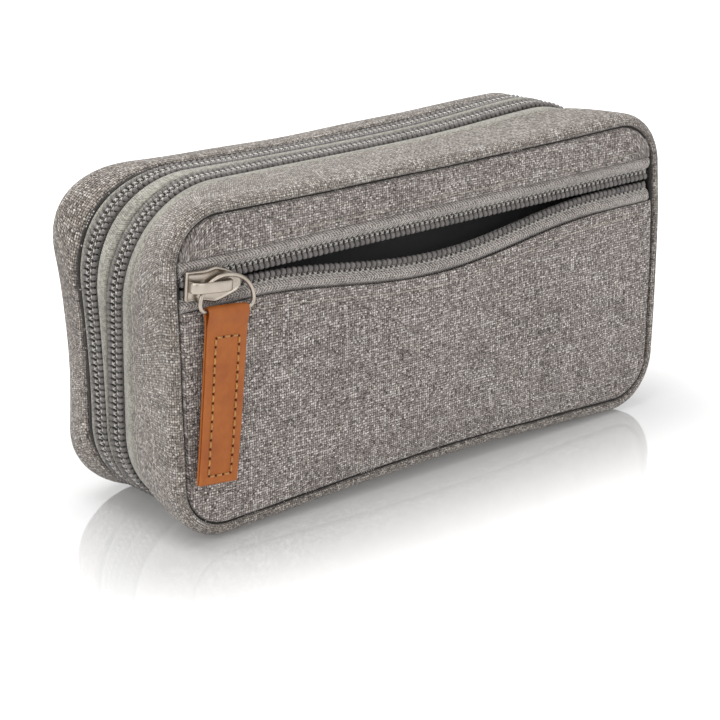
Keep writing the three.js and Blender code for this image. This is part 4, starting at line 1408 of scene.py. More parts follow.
def lean_seat(seat, degrees, about):
    """The same seat turned clockwise about a point, as seen from outside."""
    angle = math.radians(degrees)
    x_axis, y_axis, out = seat[1]
    turned = np.array([
        math.cos(angle) * x_axis - math.sin(angle) * y_axis,
        math.sin(angle) * x_axis + math.cos(angle) * y_axis,
        out,
    ])
    local = seat[1] @ (seat[0] - about)
    return about + local @ turned, turned


def place_in(seat, points):
    """Local points (along, across, outwards) as points of the model."""
    return seat[0] + np.asarray(points) @ seat[1]


def resample(path, count, wrap=False):
    """The same curve with points at equal distances."""
    if wrap:
        path = np.concatenate([path, path[:1]])
    length = run_of(path)
    places = np.linspace(0, length[-1], count, endpoint=not wrap)
    return np.stack([np.interp(places, length, path[:, k]) for k in range(path.shape[1])], axis=-1)


def soften(path, rounds):
    """Corners of a closed curve rounded by averaging each point with its neighbours."""
    for _ in range(rounds):
        path = (np.roll(path, 1, axis=0) + 2 * path + np.roll(path, -1, axis=0)) / 4
    return path


def bends_softened(path, rounds):
    """An open path in two coordinates with softer bends, as points in the plane x = 0."""
    for _ in range(rounds):
        path[1:-1] = (path[:-2] + 2 * path[1:-1] + path[2:]) / 4
    return together(0.0, path[:, 0], path[:, 1])


def slider_outline(length, width):
    """A narrow tail, a hollow rise to the shoulder, then a bow to a round nose."""
    half = length / 2
    nose = width * 0.28
    peak = length * 0.02
    rise = np.linspace(0, 1, 14)
    rise_x = -length * 0.22 + (peak + length * 0.22) * rise
    rise_y = width * (0.42 + 0.08 * rise ** 1.6)
    fall = np.linspace(0, 1, 16)[1:]
    end = half - nose
    fall_x = peak + (end + nose * 0.3 - peak) * fall
    fall_y = width / 2 + (nose * 0.95 - width / 2) * fall ** 1.35
    turn = np.linspace(math.radians(66), 0, 10)
    side = np.concatenate([
        [[-half, width * 0.41]],
        together(rise_x, rise_y),
        together(fall_x, fall_y),
        together(end + nose * np.cos(turn), nose * np.sin(turn)),
    ])
    whole = np.concatenate([side, side[-2::-1] * [1, -1]])
    return soften(resample(whole, 120, wrap=True), 1)


SPINE_SHARE = 0.55  # of the outline's length


def domed_plate(outline, levels):
    """Rings of an outline drawn towards its spine by each level's inset, and closed at both ends."""
    spine = together(outline[:, 0] * SPINE_SHARE, 0 * outline[:, 1])
    reach = np.linalg.norm(outline - spine, axis=1, keepdims=True)
    rings = []
    for inset, height in levels:
        ring = outline + (spine - outline) * np.minimum(inset / reach, 1.0)
        rings.append(together(ring[:, 0], ring[:, 1], height))
    rings = np.array(rings)
    ends = [np.broadcast_to(ring.mean(axis=0), ring.shape)[None] for ring in (rings[0], rings[-1])]
    return np.concatenate([ends[0], rings, ends[1]])


def carry_section(path, normal, width, thick, blunt, sides, wrap=False):
    """A superellipse along a path: w |cos a|^blunt sideways and t |sin a|^blunt off the path."""
    angle = full_turn(sides)[:, None, None]
    if wrap:
        step = np.roll(path, -1, axis=0) - np.roll(path, 1, axis=0)
    else:
        step = np.gradient(path, axis=0)
    side = unit(np.cross(unit(step), normal))
    across = width / 2 * blunted(np.cos(angle), blunt)
    off = thick / 2 * blunted(np.sin(angle), blunt)
    return path[None] + across * normal + off * side[None]


print("slider helpers ready")


# %% Sliders with their bridges
def cast_plate(name, seat, outline, levels, body, node=None):
    """A nickel plate at a seat: an outline carried through levels of (inset, height)."""
    grid = place_in(seat, domed_plate(outline, levels))
    dress(grid_piece(name, grid, wrap_columns=True), nickel, body, node)


def bridge_path(reach, base, top):
    """x = reach |cos a|^0.45 and z = base + rise (sin a)^0.4, from one foot over to the other."""
    turn = np.linspace(math.pi, 0, 400)
    x = reach * blunted(np.cos(turn), 0.45)
    z = base + (top - base) * np.clip(np.sin(turn), 0, 1) ** 0.4
    return resample(together(x, 0 * x, z), 48)


BRIDGE = 1.1 * MM
POST_AT, POST_REACH = 0.31, 0.06  # shares of the slider's length
POST_HALF = 0.3 * MM
INNER_WIDTH = 6.8 * MM
PLATE_LEVELS = np.array([  # (inset, height) from the plate's back over its rim to its face
    (1.2, 0.30), (0.35, 0.30), (0.0, 0.55), (0.0, 1.15), (0.10, 1.45), (0.32, 1.66), (0.58, 1.68),
    (0.85, 1.52), (1.15, 1.40), (1.9, 1.42), (2.9, 1.50),
]) * MM
INNER_LEVELS = np.array([(0.8, 0.0), (0.2, 0.0), (0.0, 0.25), (0.0, 0.75), (0.2, 1.0), (0.8, 1.0)]) * MM


def make_slider(node, body, along, across, outward, lean=0.0, setback=0.0):
    """Outer plate, inner plate, post and bridge of one slider; lean is in degrees."""
    upright, length, width, depth = slider_seat(node, along, across, outward)
    seat = lean_seat(upright, lean, upright[0])
    outline = slider_outline(length, width * 1.05)
    cast_plate(f"{node}_plate", seat, outline, PLATE_LEVELS, body, node)
    inner_outline = slider_outline(length, min(INNER_WIDTH, width))
    back = SEAT_GAP + PLATE - depth
    cast_plate(f"{node}_inner_plate", seat, inner_outline, INNER_LEVELS + [0, back], body)
    turn = full_turn(24)
    post = together(POST_AT * length + POST_REACH * length * np.cos(turn), POST_HALF * np.sin(turn))
    post_levels = [(0.0, back + 0.5 * MM), (0.0, SEAT_GAP + 0.5 * PLATE)]
    cast_plate(f"{node}_post", seat, post, post_levels, body)

    bridge = f"{node}_bridge"
    low, high = box_low_high(bridge)
    reach, strap_width, _ = np.abs(upright[1] @ (high - low)) / 2
    top = np.abs(seat[1][2] @ ((high if outward[0] + outward[1] > 0 else low) - seat[0]))
    path = bridge_path(reach - BRIDGE / 2, SEAT_GAP + 0.7 * PLATE, top - BRIDGE / 2)
    path -= [length * setback, 0, 0]
    section = carry_section(path, Y_AXIS, 2 * strap_width, BRIDGE, 0.5, 20)
    strap = closed_strip(f"{bridge}_strap", place_in(seat, section))
    dress(strap, nickel, body, bridge)
    return upright[0]


POCKET_LEAN = 6.0
pocket_slider_place = make_slider(
    "pocket_slider", "pocket_slider", (1, 0, 0), (0, 0, 1), (0, -1, 0), lean=POCKET_LEAN, setback=0.09,
)
for name in ("front_zip_slider", "back_zip_slider"):
    make_slider(name, name, (0, 0, -1), (0, 1, 0), (1, 0, 0))
print("three sliders cast")

# %% Rings
RING_CORNER = 2.4 * MM
POCKET_WIRE, MAIN_WIRE = 1.4 * MM, 1.2 * MM


def ring_path(width, drop):
    """A half circle over a bar: the crown is at the origin, and the bar is drop below it."""
    half = width / 2
    crown = min(half, drop - RING_CORNER)
    turn = np.linspace(math.pi, 0, 60)
    over = together(half * np.cos(turn), crown * (np.sin(turn) - 1))
    bend = np.linspace(0, -math.pi / 2, 12)
    right = together(half - RING_CORNER * (1 - np.cos(bend)), -drop + RING_CORNER * (1 + np.sin(bend)))
    flat = resample(np.concatenate([over, right, right[::-1] * [-1, 1]]), 160, wrap=True)
    flat = soften(flat, 3)
    return together(flat[:, 0], flat[:, 1], 0.0)


def make_ring(node, body, wire, sideways, outward, lean, about):
    """A wire ring in its node's box, turned about its slider; gives the seat at its bar."""
    low, high = box_low_high(node)
    directions = np.array([sideways, (0, 0, 1), outward], float)
    width = np.abs(directions[0] @ (high - low)) - wire
    drop = high[2] - low[2] - wire
    crown = (low + high) / 2
    crown[2] = high[2] - wire / 2
    about = crown if about is None else about
    seat = lean_seat((crown, directions), lean, about)
    section = carry_section(ring_path(width, drop), Z_AXIS, wire, wire, 1.0, 14, wrap=True)
    dress(closed_ring(f"{node}_wire", place_in(seat, section)), nickel, body, node)
    return place_in(seat, [0, -drop, 0]), seat[1]


RINGS = [
    ("pocket_ring", "pocket_slider", POCKET_WIRE, (1, 0, 0), (0, -1, 0), POCKET_LEAN, pocket_slider_place),
    ("front_zip_ring", "front_zip_pull", MAIN_WIRE, (0, 1, 0), (1, 0, 0), 0.0, None),
    ("back_zip_ring", "back_zip_pull", MAIN_WIRE, (0, 1, 0), (1, 0, 0), 0.0, None),
]
bars = {ring[0]: make_ring(*ring) for ring in RINGS}
print("rings bent", list(bars))

# %% [markdown]
# ## Leather pulls
#
# Each pull is one strip of leather folded round the ring's bar and stitched to itself: a thin
# section carried up the back, over the bar and down the front, so the two layers show as a
# fine line at the edge. Thread is stamped round a rectangle on both faces, and dark rods at
# each needle hole between the stitches are painted shade.
# The real pull leans, narrows towards its end, is cupped and bows a little, and all of these
# are small shifts of the same points.

# %% Pulls
LEATHER = 1.15 * MM
STITCH_PITCH = 2.95 * MM
CUP, CUP_REACH = 0.3 * MM, 8 * MM
BOW = 0.5 * MM
THROAT = 2.1  # from the bar to where the layers meet, in outer radii of the fold
END_MARGIN = 2.8 * MM  # from the pull's end to its stitches
PULL_STITCH = (0.5, 2.3 * MM, 0.33 * MM)  # start as a share of the pitch, length and radius
# Start, length and radius of the dark rods that paint the shade in each needle hole.
NEEDLE_SHADE_ROD = (0.0, 0.85 * MM, 0.34 * MM)


def pull_path(length, hole):
    """Up the back, round the bar and down the front, with its bends softened."""
    fold = hole + LEATHER / 2
    layer = LEATHER / 2 + 0.03 * MM
    throat = -THROAT * (hole + LEATHER)
    turn = np.linspace(-math.pi / 2, math.pi / 2, 24)
    over = together(fold * np.cos(turn), fold * np.sin(turn))
    down, up = [[-length, -layer], [throat, -layer]], [[throat, layer], [-length, layer]]
    path = resample(np.concatenate([down, over, up]), 170)
    return bends_softened(path, 6)


def hang(points, length, lean, taper):
    """A hanging pull leans and narrows with depth, is cupped across and bows along."""
    x, height, depth = np.moveaxis(np.asarray(points, float), -1, 0)
    share = np.clip(-height / length, 0, 1)
    shifted = x * (1 - taper * share) - lean * share
    cupped = depth + CUP * (x / CUP_REACH) ** 2 + BOW * np.sin(math.pi * share) * share
    return together(shifted, height, cupped)


def rectangle_path(width, height, top):
    """Corners of an upright rectangle, closed, from its upper left."""
    half = width / 2
    return np.array([[-half, top], [half, top], [half, top - height], [-half, top - height], [-half, top]])


def make_pull(node, body, bar, wire, across_stitches, side_stitches, lean, taper):
    """The folded strip, its thread, and dark rods at each needle hole as painted shade."""
    directions = bar[1]
    low, high = box_low_high(node)
    width = np.abs(np.round(directions[0]) @ (high - low))
    length = high[2] - low[2] - (wire / 2 + SEAT_GAP + LEATHER)
    path = pull_path(length, wire / 2 + SEAT_GAP)
    section = carry_section(path, X_AXIS, width, LEATHER, 0.38, 36)
    strip = place_in(bar, hang(close_ends(section), length, lean, taper))
    dress(grid_piece(f"{node}_leather", strip, wrap_rows=True), tan_leather, body, node)

    stitched = side_stitches * STITCH_PITCH
    corners = rectangle_path(across_stitches * STITCH_PITCH, stitched, -(length - stitched - END_MARGIN))
    total = run_of(corners)
    finish = ((*PULL_STITCH, pull_thread, "thread"), (*NEEDLE_SHADE_ROD, hole_shade_material, "holes"))
    for start, size, radius, material, label in finish:
        places = (np.arange(round(total[-1] / STITCH_PITCH)) + start) * STITCH_PITCH
        sides = []
        for face in (1, -1):
            ends = []
            for shift in (-0.5 * size, 0.5 * size):
                x, height = (np.interp((places + shift) % total[-1], total, corners[:, k]) for k in (0, 1))
                depth = np.full_like(x, face * (LEATHER - 0.08 * MM))
                ends.append(place_in(bar, hang(together(x, height, depth), length, lean, taper)))
            along = unit(ends[1] - ends[0])
            out = np.broadcast_to(face * directions[2], along.shape)
            sides.append([(ends[0] + ends[1]) / 2, along, np.cross(out, along), out])
        centres, along, across, out = (np.concatenate(pair) for pair in zip(*sides))
        row = stamp(f"{node}_{label}", thread_rod(size, radius), centres, along, across, out)
        dress(row, material, body)


make_pull("pocket_pull", "pocket_pull", bars["pocket_ring"], POCKET_WIRE, 3, 15, 0.4 * MM, 0.05)
for zip_name in ("front_zip", "back_zip"):
    name = f"{zip_name}_pull"
    make_pull(name, name, bars[f"{zip_name}_ring"], MAIN_WIRE, 1, 11, 0.0, 0.04)
print("three pulls stitched")

# %% [markdown]
# ## Inside the lids
#
# Behind the open mouth of the pocket is a lining wall, and between the lids is a padded
# divider. Both have the case's outline and a rounded edge, and are drawn towards their
# middle in a few rings so that they can be crowned. The lining is a smooth twill, much finer
# than the outer weave, so its material only needs slanting lines and a little noise.


# %% Lining material
def lining_material(name, colour, light):
    """Fine twill: sin(2 pi (u + v) / line) as height, with slow noise in its tone."""
    shader = Shader(name, colour, 0.75, sheen=0.25)
    u, v = shader.cloth_uv()
    slant = shader.plus(u, v)
    line = shader.scaled(shader.wave(slant, 0.5 * MM), 0.5, 0.5)
    place = shader.vector(u, v)
    fibre = shader.noise(place, 3000.0, 2.0)
    slow = shader.noise(place, 60.0, 3.0)
    # The twill line also sets the colour, darker in its troughs: painted shade, with fibre and slow noise
    # as random tone.
    tone = shader.scaled(line, 0.35, shader.times(fibre, 0.35))
    tone = shader.scaled(slow, 0.3, tone)
    shader.tint(tone, 0.25, 0.8, colour, light)
    shader.bump(line, 0.06 * MM, 0.6)
    return shader.material


dark_lining = lining_material("dark_lining", "1b1b1c", "343435")
grey_lining = lining_material("grey_lining", "4a4a4a", "6e6d6b")
print("linings ready")


# %% Lining wall and divider
def gathered(ring, steps, crown):
    """Rings from a closed edge to its middle; y rises by crown (1 - s^2), where s is a ring's share."""
    share = np.linspace(1, 0, steps)[1:, None, None]
    middle = ring.mean(axis=0)
    rings = middle + (ring - middle) * share
    rings[..., 1] += crown * (1 - share[..., 0] ** 2)
    return rings


def cloth_plate(name, node, stations, crown, body, finish):
    """A plate in the case's outline from its edge's stations, crowned on both faces."""
    rows = loft(stations)
    front = gathered(rows[0], 8, -crown)
    back = gathered(rows[-1], 8, crown)
    grid = np.concatenate([front[::-1], rows, back])
    piece = grid_piece(name, grid, wrap_columns=True, uv=grid[..., [0, 2]])
    return dress(piece, finish, body, node)


def rounded_edge(y_low, y_high, inset, depth=0.6 * MM):
    """Stations (y, inset, face share) of a half-round edge from one face to the other."""
    turn = np.linspace(-math.pi / 2, math.pi / 2, 7)
    half = (y_high - y_low) / 2
    return together((y_low + y_high) / 2 + half * np.sin(turn), inset + depth * (1 - np.cos(turn)), 0.0)


WALL_INSET, DIVIDER_INSET = 2.5 * MM, 3.6 * MM
DIVIDER_ROUND, DIVIDER_CROWN = 1.4 * MM, 0.6 * MM
LINING_STITCH = (3.2 * MM, 2.5 * MM, 0.2 * MM)
LINING_STITCH_INSET = 8 * MM
wall_low, wall_high = box_low_high("pocket_back_wall")
wall_edge = rounded_edge(wall_low[1], wall_high[1], WALL_INSET)
wall = cloth_plate("pocket_lining", "pocket_back_wall", wall_edge, 0.0, "front_lid", dark_lining)
panel_low, panel_high = box_low_high("divider_panel")
divider_edge = rounded_edge(panel_low[1], panel_high[1], DIVIDER_INSET, DIVIDER_ROUND)
lined = ("divider_lining", "divider_panel")
divider = cloth_plate(*lined, divider_edge, DIVIDER_CROWN, "divider", grey_lining)

edge_path = loft([[panel_low[1] - 0.05 * MM, LINING_STITCH_INSET, 0.0]])[0]
edge_path = np.concatenate([edge_path, edge_path[:1]])
dark_thread = thread_material("lining_thread", "8b8984")
for label, out, y in (("front", -Y_AXIS, panel_low[1]), ("back", Y_AXIS, panel_high[1])):
    row = edge_path.copy()
    row[:, 1] = y + 0.1 * MM * out[1]
    stitch_line(f"divider_{label}_stitches", row, out, *LINING_STITCH, dark_thread, "divider", "lining")
print("linings cut")

# %% [markdown]
# ## Pen elastics
#
# Two broad elastics are sewn to the front of the divider, each with three loops for pens.
# One ribbon runs flat on the divider, out round each pen's place and back. Its ribs follow
# the U direction of the map, and rows of thread across it hold it down between the loops.

# %% Elastics
RIBBON = 1.0 * MM


def elastic_material(name, colour, light):
    """Woven elastic: cords along the ribbon as |sin(pi v / cord)|, crossed by fine threads."""
    shader = Shader(name, colour, 0.7, sheen=0.2)
    u, v = shader.cloth_uv()
    cord = shader.math("ABSOLUTE", shader.wave(v, 2 * 1.3 * MM))
    height = shader.scaled(shader.wave(u, 0.6 * MM), 0.12, cord)
    grain = shader.noise(shader.vector(u, v), 2500.0, 2.0)
    # The cords' height also sets the colour, darker between the cords: painted shade, with random grain.
    tone = shader.scaled(grain, 0.4, shader.times(height, 0.6))
    shader.tint(tone, 0.15, 0.85, colour, light)
    shader.bump(height, 0.3 * MM, 0.8)
    return shader.material


woven_elastic = elastic_material("woven_elastic", "2c2c2d", "535352")
LOOPS = 3
LOOP_GAP = 7 * MM
TACKS = 8  # stitches across the ribbon
TACK_LENGTH, TACK_RADIUS = 2.1 * MM, 0.24 * MM
TACK_EDGE = 2 * MM  # from the ribbon's edges to its stitches


def ribbon_path(front_y, low_z, high_z, depth):
    """Flat at front_y, and for each loop half an ellipse depth * cos a, half * sin a."""
    pitch = (high_z - low_z) / LOOPS
    half = (pitch - LOOP_GAP) / 2 + RIBBON / 2
    turn = np.linspace(-math.pi / 2, math.pi / 2, 40)
    pieces = [[[front_y, low_z]]]
    for loop in range(LOOPS):
        centre = low_z + pitch * (loop + 0.5)
        pieces.append(together(front_y - depth * np.cos(turn), centre + half * np.sin(turn)))
    pieces.append([[front_y, high_z]])
    path = resample(np.concatenate(pieces), 260)
    return bends_softened(path, 3)


for node in ("left_pen_elastic", "right_pen_elastic"):
    low, high = box_low_high(node)
    middle_x = (low[0] + high[0]) / 2
    width = high[0] - low[0]
    front_y = high[1] - 1.5 * RIBBON
    path = ribbon_path(front_y, low[2], high[2], front_y - low[1] - RIBBON / 2) + [middle_x, 0, 0]
    name = node.replace("_elastic", "_loops")
    loops = closed_strip(name, carry_section(path, X_AXIS, width, RIBBON, 0.3, 28))
    dress(loops, woven_elastic, "divider", node)
    ends = [[middle_x, high[1] - RIBBON / 2, z] for z in (low[2], high[2])]
    backing = carry_section(np.linspace(*ends, 30), X_AXIS, width, RIBBON * 0.96, 0.3, 28)
    strip = closed_strip(node.replace("_elastic", "_backing"), backing)
    dress(strip, woven_elastic, "divider")
    pitch = (high[2] - low[2]) / LOOPS
    levels = low[2] + pitch * np.arange(LOOPS + 1)
    levels = np.clip(levels, low[2] + TACK_EDGE, high[2] - TACK_EDGE)
    cross = np.linspace(low[0] + TACK_EDGE, high[0] - TACK_EDGE, TACKS)
    x, z = (part.ravel() for part in np.meshgrid(cross, levels))
    places = together(x, front_y - RIBBON / 2, z)
    directions = [np.broadcast_to(axis, places.shape) for axis in (X_AXIS, Z_AXIS, -Y_AXIS)]
    tacks = stamp(f"{name}_tacks", thread_rod(TACK_LENGTH, TACK_RADIUS), places, *directions)
    dress(tacks, dark_thread, "divider")
print("elastics sewn")

# %% [markdown]
# ## The cooled tray
#
# The back half holds the cold: a moulded foam tray, a crinkled foil liner in it, and a gel
# pack behind an elastic net. The trays are lofts of the case's outline. The foil has small
# dents in its shape, and its creases are the borders of a cell pattern in its bump.


# %% Foam and foil
def foam_material(name, colour):
    """Fine closed-cell foam: small pits from cells and a slow change of tone."""
    shader = Shader(name, colour, 0.95)
    place = shader.object_place()
    pits = shader.cells(place, 1100.0, "SMOOTH_F1")
    slow = shader.noise(place, 50.0, 3.0)
    # The pits also darken the colour: painted shade in them, with a slow random tone.
    tone = shader.scaled(slow, 0.4, shader.times(pits, 0.6))
    shader.tint(tone, 0.2, 0.8, "8f8f8d", colour)
    shader.bump(pits, 0.2 * MM, 0.7)
    return shader.material


def foil_material(name, colour):
    """Aluminised film: a metal whose creases are the borders between large and small cells."""
    shader = Shader(name, colour, 0.22, metallic=1.0)
    place = shader.object_place()
    large = shader.cells(place, 120.0, "DISTANCE_TO_EDGE")
    small = shader.cells(place, 420.0, "DISTANCE_TO_EDGE")
    crease = shader.scaled(small, 0.4, large)
    shader.set("Roughness", shader.span(crease, 0.0, 0.5, 0.38, 0.18))
    tint = shader.noise(place, 90.0, 2.0)
    shader.tint(tint, 0.3, 0.7, "a9acb0", colour)
    shader.bump(crease, 0.8 * MM, 0.8)
    return shader.material


white_foam = foam_material("white_foam", "cfcfcb")
silver_foil = foil_material("silver_foil", "d9dbde")


CRUMPLE_PITCH = 7 * MM


def crumple(grid, size):
    """Small dents along y: products of sines of turned coordinates."""
    x, z = grid[..., 0] / CRUMPLE_PITCH, grid[..., 2] / CRUMPLE_PITCH
    dents = np.sin(1.7 * x + 0.6 * z) * np.sin(1.1 * z - 0.8 * x + 1.3) + 0.5 * np.sin(3.1 * x - 2.3 * z)
    crumpled = grid.copy()
    crumpled[..., 1] += size * dents / 1.5
    return crumpled


def tray(name, stations, finish, node, dents=0.0):
    """A tray from (y, inset) stations, from outside its floor over the rim to the inside."""
    rows = loft(np.array([(y * MM, inset * MM, 0.0) for y, inset in stations]))
    outside = gathered(rows[0], 14, 0.0)[::-1]
    inside = crumple(gathered(rows[-1], 26, 0.0), dents)
    piece = grid_piece(name, np.concatenate([outside, rows, inside]), wrap_columns=True)
    return dress(piece, finish, "back_lid", node)


FOAM_STATIONS = [
    (31.5, 17.0), (30.4, 12.6), (28.5, 10.6), (24.0, 7.4), (19.4, 4.9), (18.5, 4.9), (18.1, 5.6),
    (18.1, 7.6), (18.6, 8.6), (20.4, 9.2), (24.0, 13.0), (26.0, 15.6), (26.3, 18.0),
]
FOIL_STATIONS = [
    (25.8, 17.8), (25.4, 16.2), (23.4, 13.8), (19.6, 9.5), (18.3, 8.9), (18.1, 9.2), (18.3, 9.6),
    (20.2, 10.4), (23.2, 14.6), (24.9, 17.2), (25.1, 19.0),
]
foam_tray = tray("foam_tray", FOAM_STATIONS, white_foam, "insulation_foam")
foil_tray = tray("foil_tray", FOIL_STATIONS, silver_foil, "foil_liner", dents=0.25 * MM)
print("foam and foil formed")

# %% [markdown]
# ## The gel pack
#
# The gel pack is a pouch of film filled with gel. How it puckers is hard to write down, so it
# is simulated: a flat slab is remeshed into even cells, the cloth simulation blows it up for
# a few frames with a little pressure and no gravity, and the result is kept as plain mesh.
# The movement is capped, so that it stays in its CAD node's space. The flat welded rim is a
# ribbon added afterwards, because remeshing would have erased it.


# %% Pouch shape
def rounded_rectangle(half_x, low_z, high_z, corner, count=160):
    """(x, z) round a rectangle with round corners, at equal distances."""
    turn = np.linspace(0, math.pi / 2, 12)
    parts = []
    for quarter in range(4):
        angle = turn + quarter * math.pi / 2
        x = (half_x - corner) * (1 if quarter in (0, 3) else -1) + corner * np.cos(angle)
        z = (high_z - corner if quarter < 2 else low_z + corner) + corner * np.sin(angle)
        parts.append(together(x, z))
    return resample(np.concatenate(parts), count, wrap=True)


def slab(name, outline, y_middle, thick):
    """A flat closed slab: the outline as a lens section y = middle + half * sin a."""
    turn = np.linspace(-math.pi / 2, math.pi / 2, 7)
    rims = []
    middle = outline.mean(axis=0)
    for angle in turn:
        share = 1 - (1 - math.cos(angle)) * 0.05
        flat = middle + (outline - middle) * share
        rims.append(together(flat[:, 0], y_middle + thick / 2 * math.sin(angle), flat[:, 1]))
    rims = np.array(rims)
    grid = np.concatenate([gathered(rims[0], 8, 0.0)[::-1], rims, gathered(rims[-1], 8, 0.0)])
    return grid_piece(name, grid, wrap_columns=True)


def points_of(mesh):
    """All vertex positions of a mesh as an array (n, 3)."""
    flat = np.empty(len(mesh.vertices) * 3, np.float32)
    mesh.vertices.foreach_get("co", flat)
    return flat.reshape(-1, 3).astype(float)


def finished_mesh(piece):
    """The piece's mesh with its modifiers applied, as it is at the current frame."""
    graph = bpy.context.evaluated_depsgraph_get()
    graph.update()
    return bpy.data.meshes.new_from_object(piece.evaluated_get(graph))


CLOTH_FRAMES = 20


def blow_up(piece, voxel, pressure, cap):
    """Remeshes a piece evenly, blows it up as cloth, and caps how far each point moves."""
    remesh = piece.modifiers.new("even cells", "REMESH")
    remesh.mode = "VOXEL"
    remesh.voxel_size = voxel
    even = finished_mesh(piece)
    piece.modifiers.clear()
    piece.data = even
    start = points_of(even)
    cloth = piece.modifiers.new("blown up", "CLOTH")
    cloth.settings.use_pressure = True
    cloth.settings.uniform_pressure_force = pressure
    cloth.settings.effector_weights.gravity = 0.0
    cloth.settings.quality = 6
    cloth.point_cache.frame_start = 1
    cloth.point_cache.frame_end = CLOTH_FRAMES
    for step in range(1, CLOTH_FRAMES + 1):
        bpy.context.scene.frame_set(step)
    blown = finished_mesh(piece)
    piece.modifiers.clear()
    move = points_of(blown) - start
    size = np.linalg.norm(move, axis=1, keepdims=True)
    move *= np.minimum(1.0, cap / np.maximum(size, 1e-9))
    even.vertices.foreach_set("co", (start + move).astype(np.float32).ravel())
    bpy.context.scene.frame_set(1)
    smooth = piece.modifiers.new("smooth", "SUBSURF")
    smooth.levels = smooth.render_levels = 1
    finished = finished_mesh(piece)
    piece.modifiers.clear()
    piece.data = finished
    piece.data.polygons.foreach_set("use_smooth", np.ones(len(finished.polygons), bool))


print("pouch helpers ready")


# %% Gel pack
def gel_film_material(name, colour, light):
    """Clear film over blue gel: cloudy tone from slow noise, and fine puckers as bump."""
    shader = Shader(name, colour, 0.22)
    place = shader.object_place()
    cloudy = shader.noise(place, 45.0, 4.0, 0.6)
    pucker = shader.noise(place, 180.0, 3.0)
    shader.tint(cloudy, 0.3, 0.7, colour, light)
    shader.set("Coat Weight", 0.6)
    shader.set("Coat Roughness", 0.08)
    shader.bump(pucker, 0.5 * MM, 0.5)
    return shader.material


gel_film = gel_film_material("gel_film", "5f9fc2", "a9cfe2")
pack_low, pack_high = box_low_high("gel_pack")
pack_middle_y = (pack_low[1] + pack_high[1]) / 2
POUCH_CORNER, RIM_CORNER = 9 * MM, 10 * MM
POUCH = 5.2 * MM  # thickness before it is blown up
WELD, RIM = 3.5 * MM, 0.5 * MM  # width and thickness of the flat rim
RIM_WAVE = 0.35 * MM
RIM_WAVE_POINTS = 16  # points of the rim to each wave
pack_right, pack_bottom, pack_top = pack_high[0], pack_low[2], pack_high[2]
body_outline = rounded_rectangle(pack_right - WELD, pack_bottom + WELD, pack_top - WELD, POUCH_CORNER)
pouch = slab("gel_pack_pouch", body_outline, pack_middle_y, POUCH)
blow_up(pouch, voxel=3.2 * MM, pressure=4.0, cap=6 * MM)
blown = points_of(pouch.data)
half_y = (pack_high[1] - pack_low[1]) / 2 - RIM / 2
reach = np.abs(blown[:, 1] - pack_middle_y).max()
blown[:, 1] = pack_middle_y + (blown[:, 1] - pack_middle_y) * min(1.0, half_y / reach)
limit = np.array([pack_right - WELD / 2, 1.0, (pack_top - pack_bottom - WELD) / 2])
centre = np.array([0.0, 0.0, (pack_top + pack_bottom) / 2])
blown = centre + np.clip(blown - centre, -limit, limit)
pouch.data.vertices.foreach_set("co", blown.astype(np.float32).ravel())
pouch.data.update()
pouch.data.materials.clear()

inner = WELD / 2
rim_middle = rounded_rectangle(pack_right - inner, pack_bottom + inner, pack_top - inner, RIM_CORNER)
rim_path = together(rim_middle[:, 0], pack_middle_y, rim_middle[:, 1])
rim = carry_section(rim_path, Y_AXIS, RIM, WELD, 0.5, 12, wrap=True)
rim[..., 1] += RIM_WAVE * np.sin(np.arange(len(rim_path)) * 2 * math.pi / RIM_WAVE_POINTS)
dress(closed_ring("gel_pack_rim", rim), gel_film, "back_lid")
dress(pouch, gel_film, "back_lid", "gel_pack")
print("gel pack", len(pouch.data.vertices), "points, thick", round(float(np.ptp(blown[:, 1])), 4))

# %% [markdown]
# ## The net
#
# An elastic net holds the gel pack to the foil and is open at its top. Two families of
# slanting strands are four-sided tubes over one surface, which rises from the border like a
# quarter ellipse and is flat over the pack.

# %% Net
net_low, net_high = box_low_high("gel_pack_net")
NET_RISE = 16 * MM
STRAND = 0.24 * MM
STRAND_GAP = 4.4 * MM
NET_CLEAR = 0.4 * MM  # of its CAD box, in front and behind
NET_HEM = 3.2 * MM
NET_CORNER = 14 * MM


def net_depth(x, z):
    """y over the pack: it rises as sqrt(1 - (1 - d / NET_RISE)^2), d from each border."""
    side = np.clip((net_high[0] - np.abs(x)) / NET_RISE, 0, 1)
    below = np.clip((z - net_low[2]) / NET_RISE, 0, 1)
    up = np.sqrt(1 - (1 - side) ** 2) * np.sqrt(1 - (1 - below) ** 2)
    return net_high[1] - NET_CLEAR - (net_high[1] - net_low[1] - 2 * NET_CLEAR) * up


def strands(slant):
    """Paths (strand, step, 3) of one family: x = foot + slant * rise, clipped to the border."""
    height = net_high[2] - net_low[2]
    width = net_high[0] - 1 * MM
    feet = np.arange(-width - height, width + height, STRAND_GAP)[:, None]
    first = np.clip(np.where(slant > 0, -width - feet, feet - width), 0, height)
    last = np.clip(np.where(slant > 0, width - feet, feet + width), 0, height)
    kept = (last - first)[:, 0] > 2 * MM
    rise = first[kept] + (last - first)[kept] * np.linspace(0, 1, 44)
    x = feet[kept] + slant * rise
    z = net_low[2] + rise
    return together(x, net_depth(x, z), z)


def tubes(name, paths, radius, sideways):
    """Closed four-sided tubes along paths (m, n, 3)."""
    count, steps = paths.shape[:2]
    offsets = np.array([sideways, (0.0, 1.0, 0.0), -np.array(sideways), (0.0, -1.0, 0.0)]) * radius
    points = paths[:, :, None] + offsets
    faces = grid_faces(steps, 4, False, True)[0]
    caps = np.array([[3, 2, 1, 0], (steps - 1) * 4 + np.arange(4)])
    faces = np.concatenate([faces, caps])
    shift = np.arange(count)[:, None, None] * steps * 4
    return weld(make_object(name, points, (faces + shift).reshape(-1, 4)))


